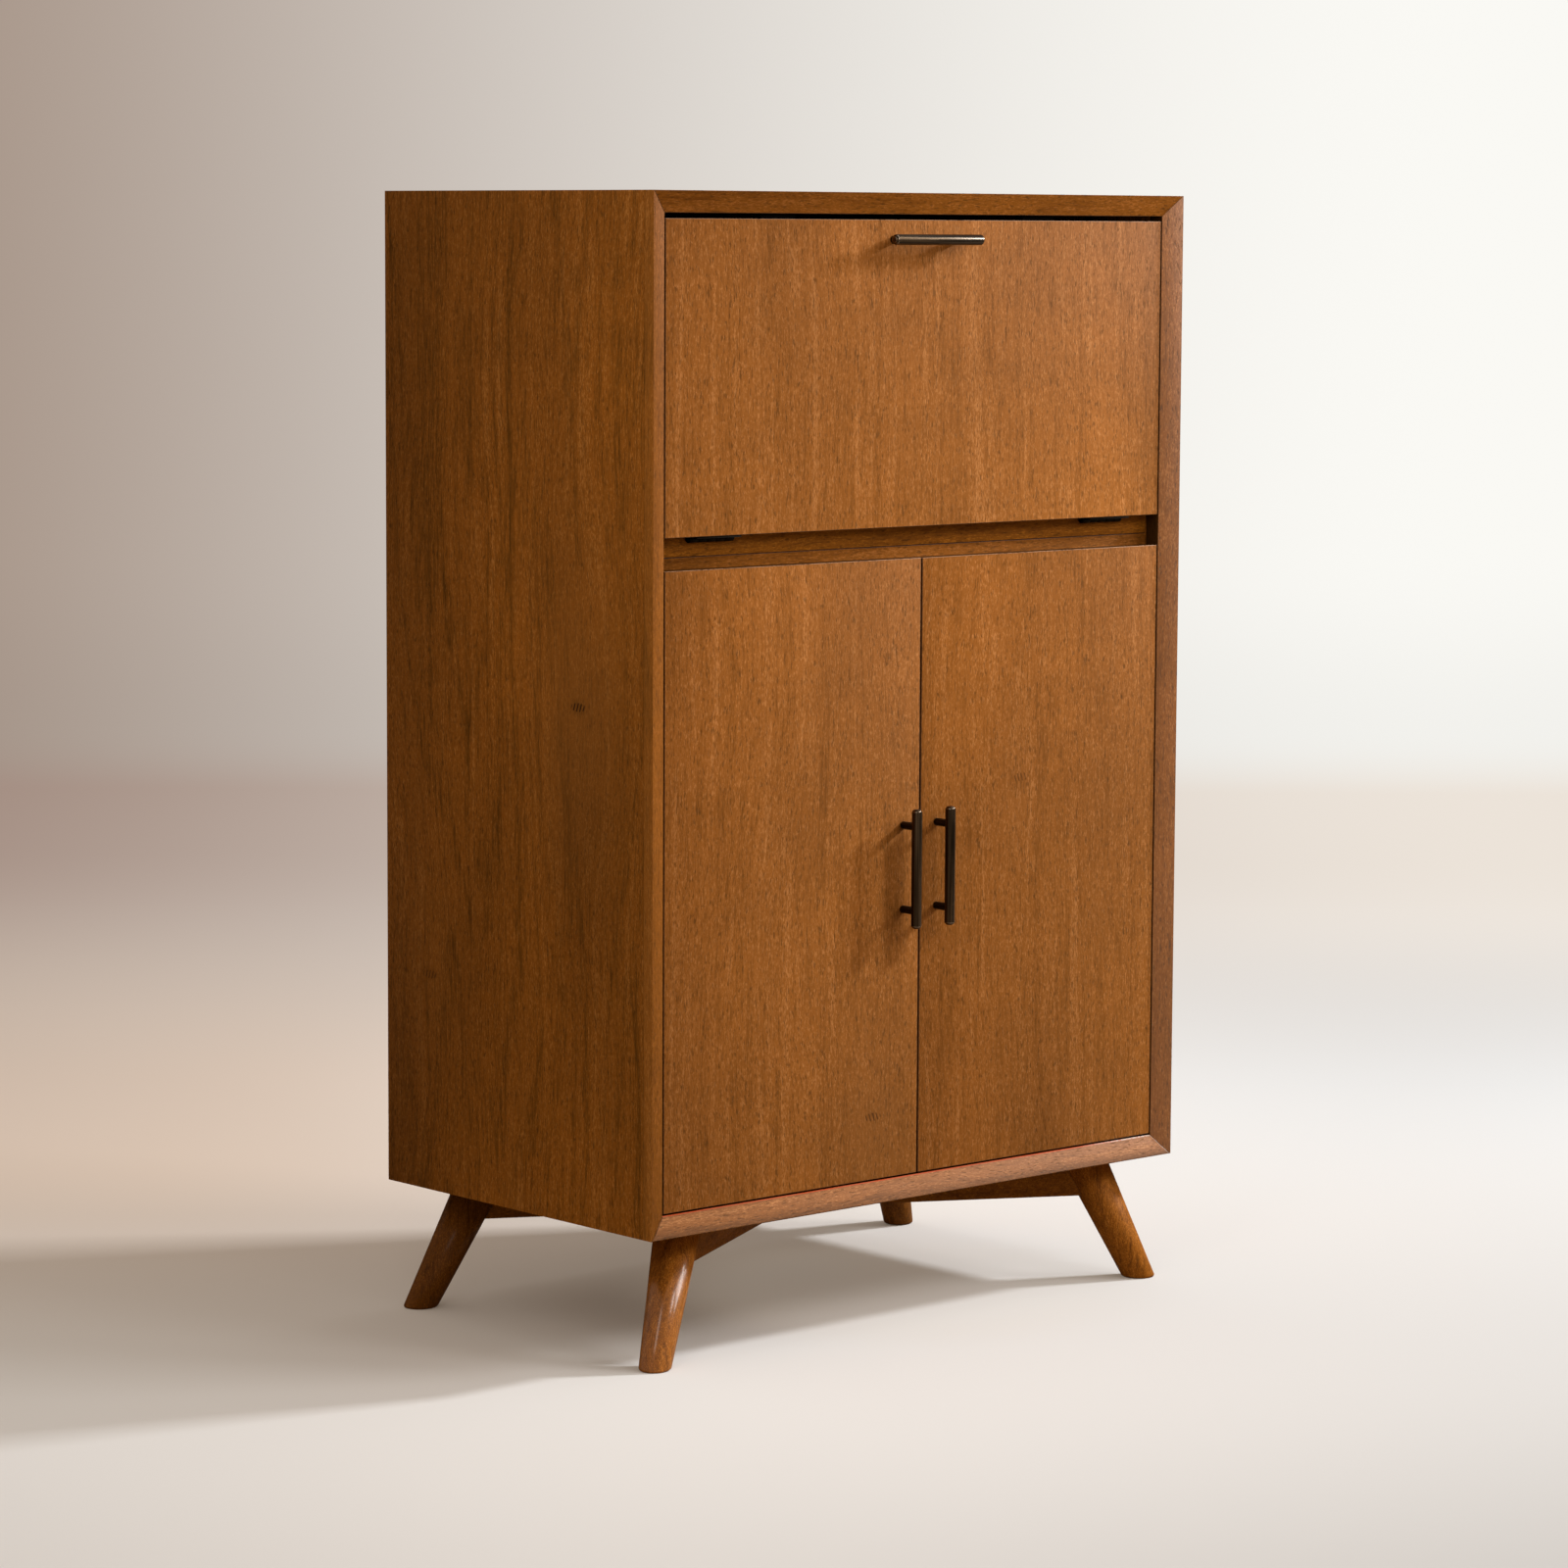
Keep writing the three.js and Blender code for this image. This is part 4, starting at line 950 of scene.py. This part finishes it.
class CABINET_OT_flap_stays(bpy.types.Operator):
    """Finishes the stays that hold the open flap, with their rivets and screws"""

    bl_idname = "cabinet.flap_stays"
    bl_label = "Flap stays"

    def execute(self, context):
        sizes = context.scene.cabinet_sizes
        for side, s in SIDES.items():
            name = f"flap_stay_{side}"
            finish_fitting(f"{name}_housing", "black_plastic", 3, 3)
            for piece in ("arm", "link", "bracket"):
                finish_fitting(f"{name}_{piece}", "nickel_fitting")
            self.add_rivets(name, side, s, sizes.rivet_radius)
            self.add_screws(name, s, sizes.fitting_screw_radius)
        return {"FINISHED"}

    def add_rivets(self, name, side, s, radius):
        """Domed rivet heads on the inner face of the link, at its two pins, and one on the arm's hub."""
        hub_depth = 0.003
        joints = {j["name"]: Vector(j["pos_m"]) for j in frame["joints"]}
        bracket = joints[f"stay_link_{side}_pivot"]
        fixed = joints[f"stay_arm_{side}_pivot"]
        elbow = fixed + (bracket - joints["flap_hinge"])
        link_face = min(abs(v.x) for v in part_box(f"{name}_link"))
        hub_face = max(abs(v.x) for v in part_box(f"{name}_arm")) - hub_depth
        dome = ((0, 0), (radius, 0), (radius, 0.0003), (0.8 * radius, 0.0009), (0.45 * radius, 0.0012), (0, 0.0013))
        spots = (
            ("elbow_rivet", f"stay_arm_{side}", elbow, link_face),
            ("bracket_rivet", "flap", bracket, link_face),
            ("hub_rivet", "case", fixed, hub_face),
        )
        for label, body, place, x in spots:
            bm = bmesh.new()
            add_turned(bm, dome, facing((s * x, place.y, place.z), (-s, 0, 0)))
            mesh_object(f"{name}_{label}", bm, "nickel_screw", body)

    def add_screws(self, name, s, radius):
        """Two screws in the housing's face and two in the bracket's plate."""
        housing_edge, housing_depth = 0.01, 0.0035
        low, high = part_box(f"{name}_housing")
        face = min(abs(low.x), abs(high.x)) + housing_depth
        middle = (low.z + high.z) / 2
        spots = [((s * face, y, middle), 0.5, 0.0003) for y in (low.y + housing_edge, high.y - housing_edge)]
        add_screws(f"{name}_housing_screws", "case", (-s, 0, 0), spots, radius)
        bracket_edge, plate, plate_middle = 0.007, 0.0025, 0.0042
        low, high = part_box(f"{name}_bracket")
        x = max(abs(low.x), abs(high.x)) - plate_middle
        spots = [((s * x, low.y + plate, z), 0.9, 0.0006) for z in (low.z + bracket_edge, high.z - bracket_edge)]
        add_screws(f"{name}_bracket_screws", "flap", (0, 1, 0), spots, 0.8 * radius)


class CABINET_OT_catches(bpy.types.Operator):
    """Finishes the magnetic catches under the top panel and their strikers"""

    bl_idname = "cabinet.catches"
    bl_label = "Catches"

    def execute(self, context):
        radius = 0.8 * context.scene.cabinet_sizes.fitting_screw_radius
        from_end, dome = 0.008, 0.0006
        for side in SIDES:
            name = f"flap_catch_{side}"
            finish_fitting(f"{name}_magnet", "black_plastic", 3, 3)
            finish_fitting(f"{name}_striker", "nickel_fitting")
            low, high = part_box(f"{name}_magnet")
            middle = (low.y + high.y) / 2
            spots = [((x, middle, low.z), 0.3, dome) for x in (low.x + from_end, high.x - from_end)]
            add_screws(f"{name}_screws", "case", (0, 0, -1), spots, radius)
        return {"FINISHED"}


class CABINET_OT_door_hinges(bpy.types.Operator):
    """Finishes the concealed door hinges and adds their screws"""

    bl_idname = "cabinet.door_hinges"
    bl_label = "Door hinges"

    def execute(self, context):
        radius = context.scene.cabinet_sizes.fitting_screw_radius
        for side, s in SIDES.items():
            for level in ("lower", "upper"):
                name = f"door_hinge_{side}_{level}"
                for piece in ("cup", "arm"):
                    finish_fitting(f"{name}_{piece}", "nickel_fitting")
                self.add_cup_screws(name, side, radius)
                self.add_arm_screws(name, s, radius)
        return {"FINISHED"}

    def add_cup_screws(self, name, side, radius):
        from_end, dome = 0.0045, 0.0008
        low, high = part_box(f"{name}_cup")
        middle = (low.x + high.x) / 2
        spots = [((middle, high.y, z), 0.7, dome) for z in (low.z + from_end, high.z - from_end)]
        add_screws(f"{name}_cup_screws", f"door_{side}", (0, 1, 0), spots, radius)

    def add_arm_screws(self, name, s, radius):
        """Two screws in the plate on the side panel and two in the arm, all seen from the cabinet's middle."""
        plate, plate_edge, from_end, arm = 0.0025, 0.013, 0.008, 0.0125
        low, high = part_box(f"{name}_arm")
        wall = max(abs(low.x), abs(high.x))
        x, y = s * (wall - plate), high.y - plate_edge
        spots = [((x, y, z), 0.2, 0.0009) for z in (low.z + from_end, high.z - from_end)]
        x, z = s * (wall - arm), (low.z + high.z) / 2
        spots += [((x, high.y - depth, z), spin, 0.0006) for depth, spin in ((0.0045, 0.9), (0.0132, 0.1))]
        add_screws(f"{name}_arm_screws", "case", (-s, 0, 0), spots, radius)


PIECES = (
    CABINET_OT_studio,
    CABINET_OT_case,
    CABINET_OT_fronts,
    CABINET_OT_inside,
    CABINET_OT_base,
    CABINET_OT_handles,
    CABINET_OT_flap_hinges,
    CABINET_OT_flap_stays,
    CABINET_OT_catches,
    CABINET_OT_door_hinges,
)


class CABINET_PT_sidebar(bpy.types.Panel):
    """Lists the cabinet's operators, sizes and colours"""

    bl_idname = "CABINET_PT_sidebar"
    bl_label = "Bar cabinet"
    bl_space_type = "VIEW_3D"
    bl_region_type = "UI"
    bl_category = "Cabinet"

    def draw(self, context):
        for piece in PIECES:
            self.layout.operator(piece.bl_idname)
        for name, group in SETTINGS.items():
            box = self.layout.box()
            for field in group.__annotations__:
                box.prop(getattr(context.scene, name), field)


def register():
    for group in SETTINGS.values():
        bpy.utils.register_class(group)
    for name, group in SETTINGS.items():
        setattr(bpy.types.Scene, name, bpy.props.PointerProperty(type=group))
    for piece in PIECES:
        bpy.utils.register_class(piece)
    bpy.utils.register_class(CABINET_PT_sidebar)


def unregister():
    bpy.utils.unregister_class(CABINET_PT_sidebar)
    for piece in reversed(PIECES):
        bpy.utils.unregister_class(piece)
    for name, group in reversed(SETTINGS.items()):
        delattr(bpy.types.Scene, name)
        bpy.utils.unregister_class(group)


def main():
    register()
    for piece in PIECES:
        group, action = piece.bl_idname.split(".")
        getattr(getattr(bpy.ops, group), action)()


if __name__ == "__main__":
    main()
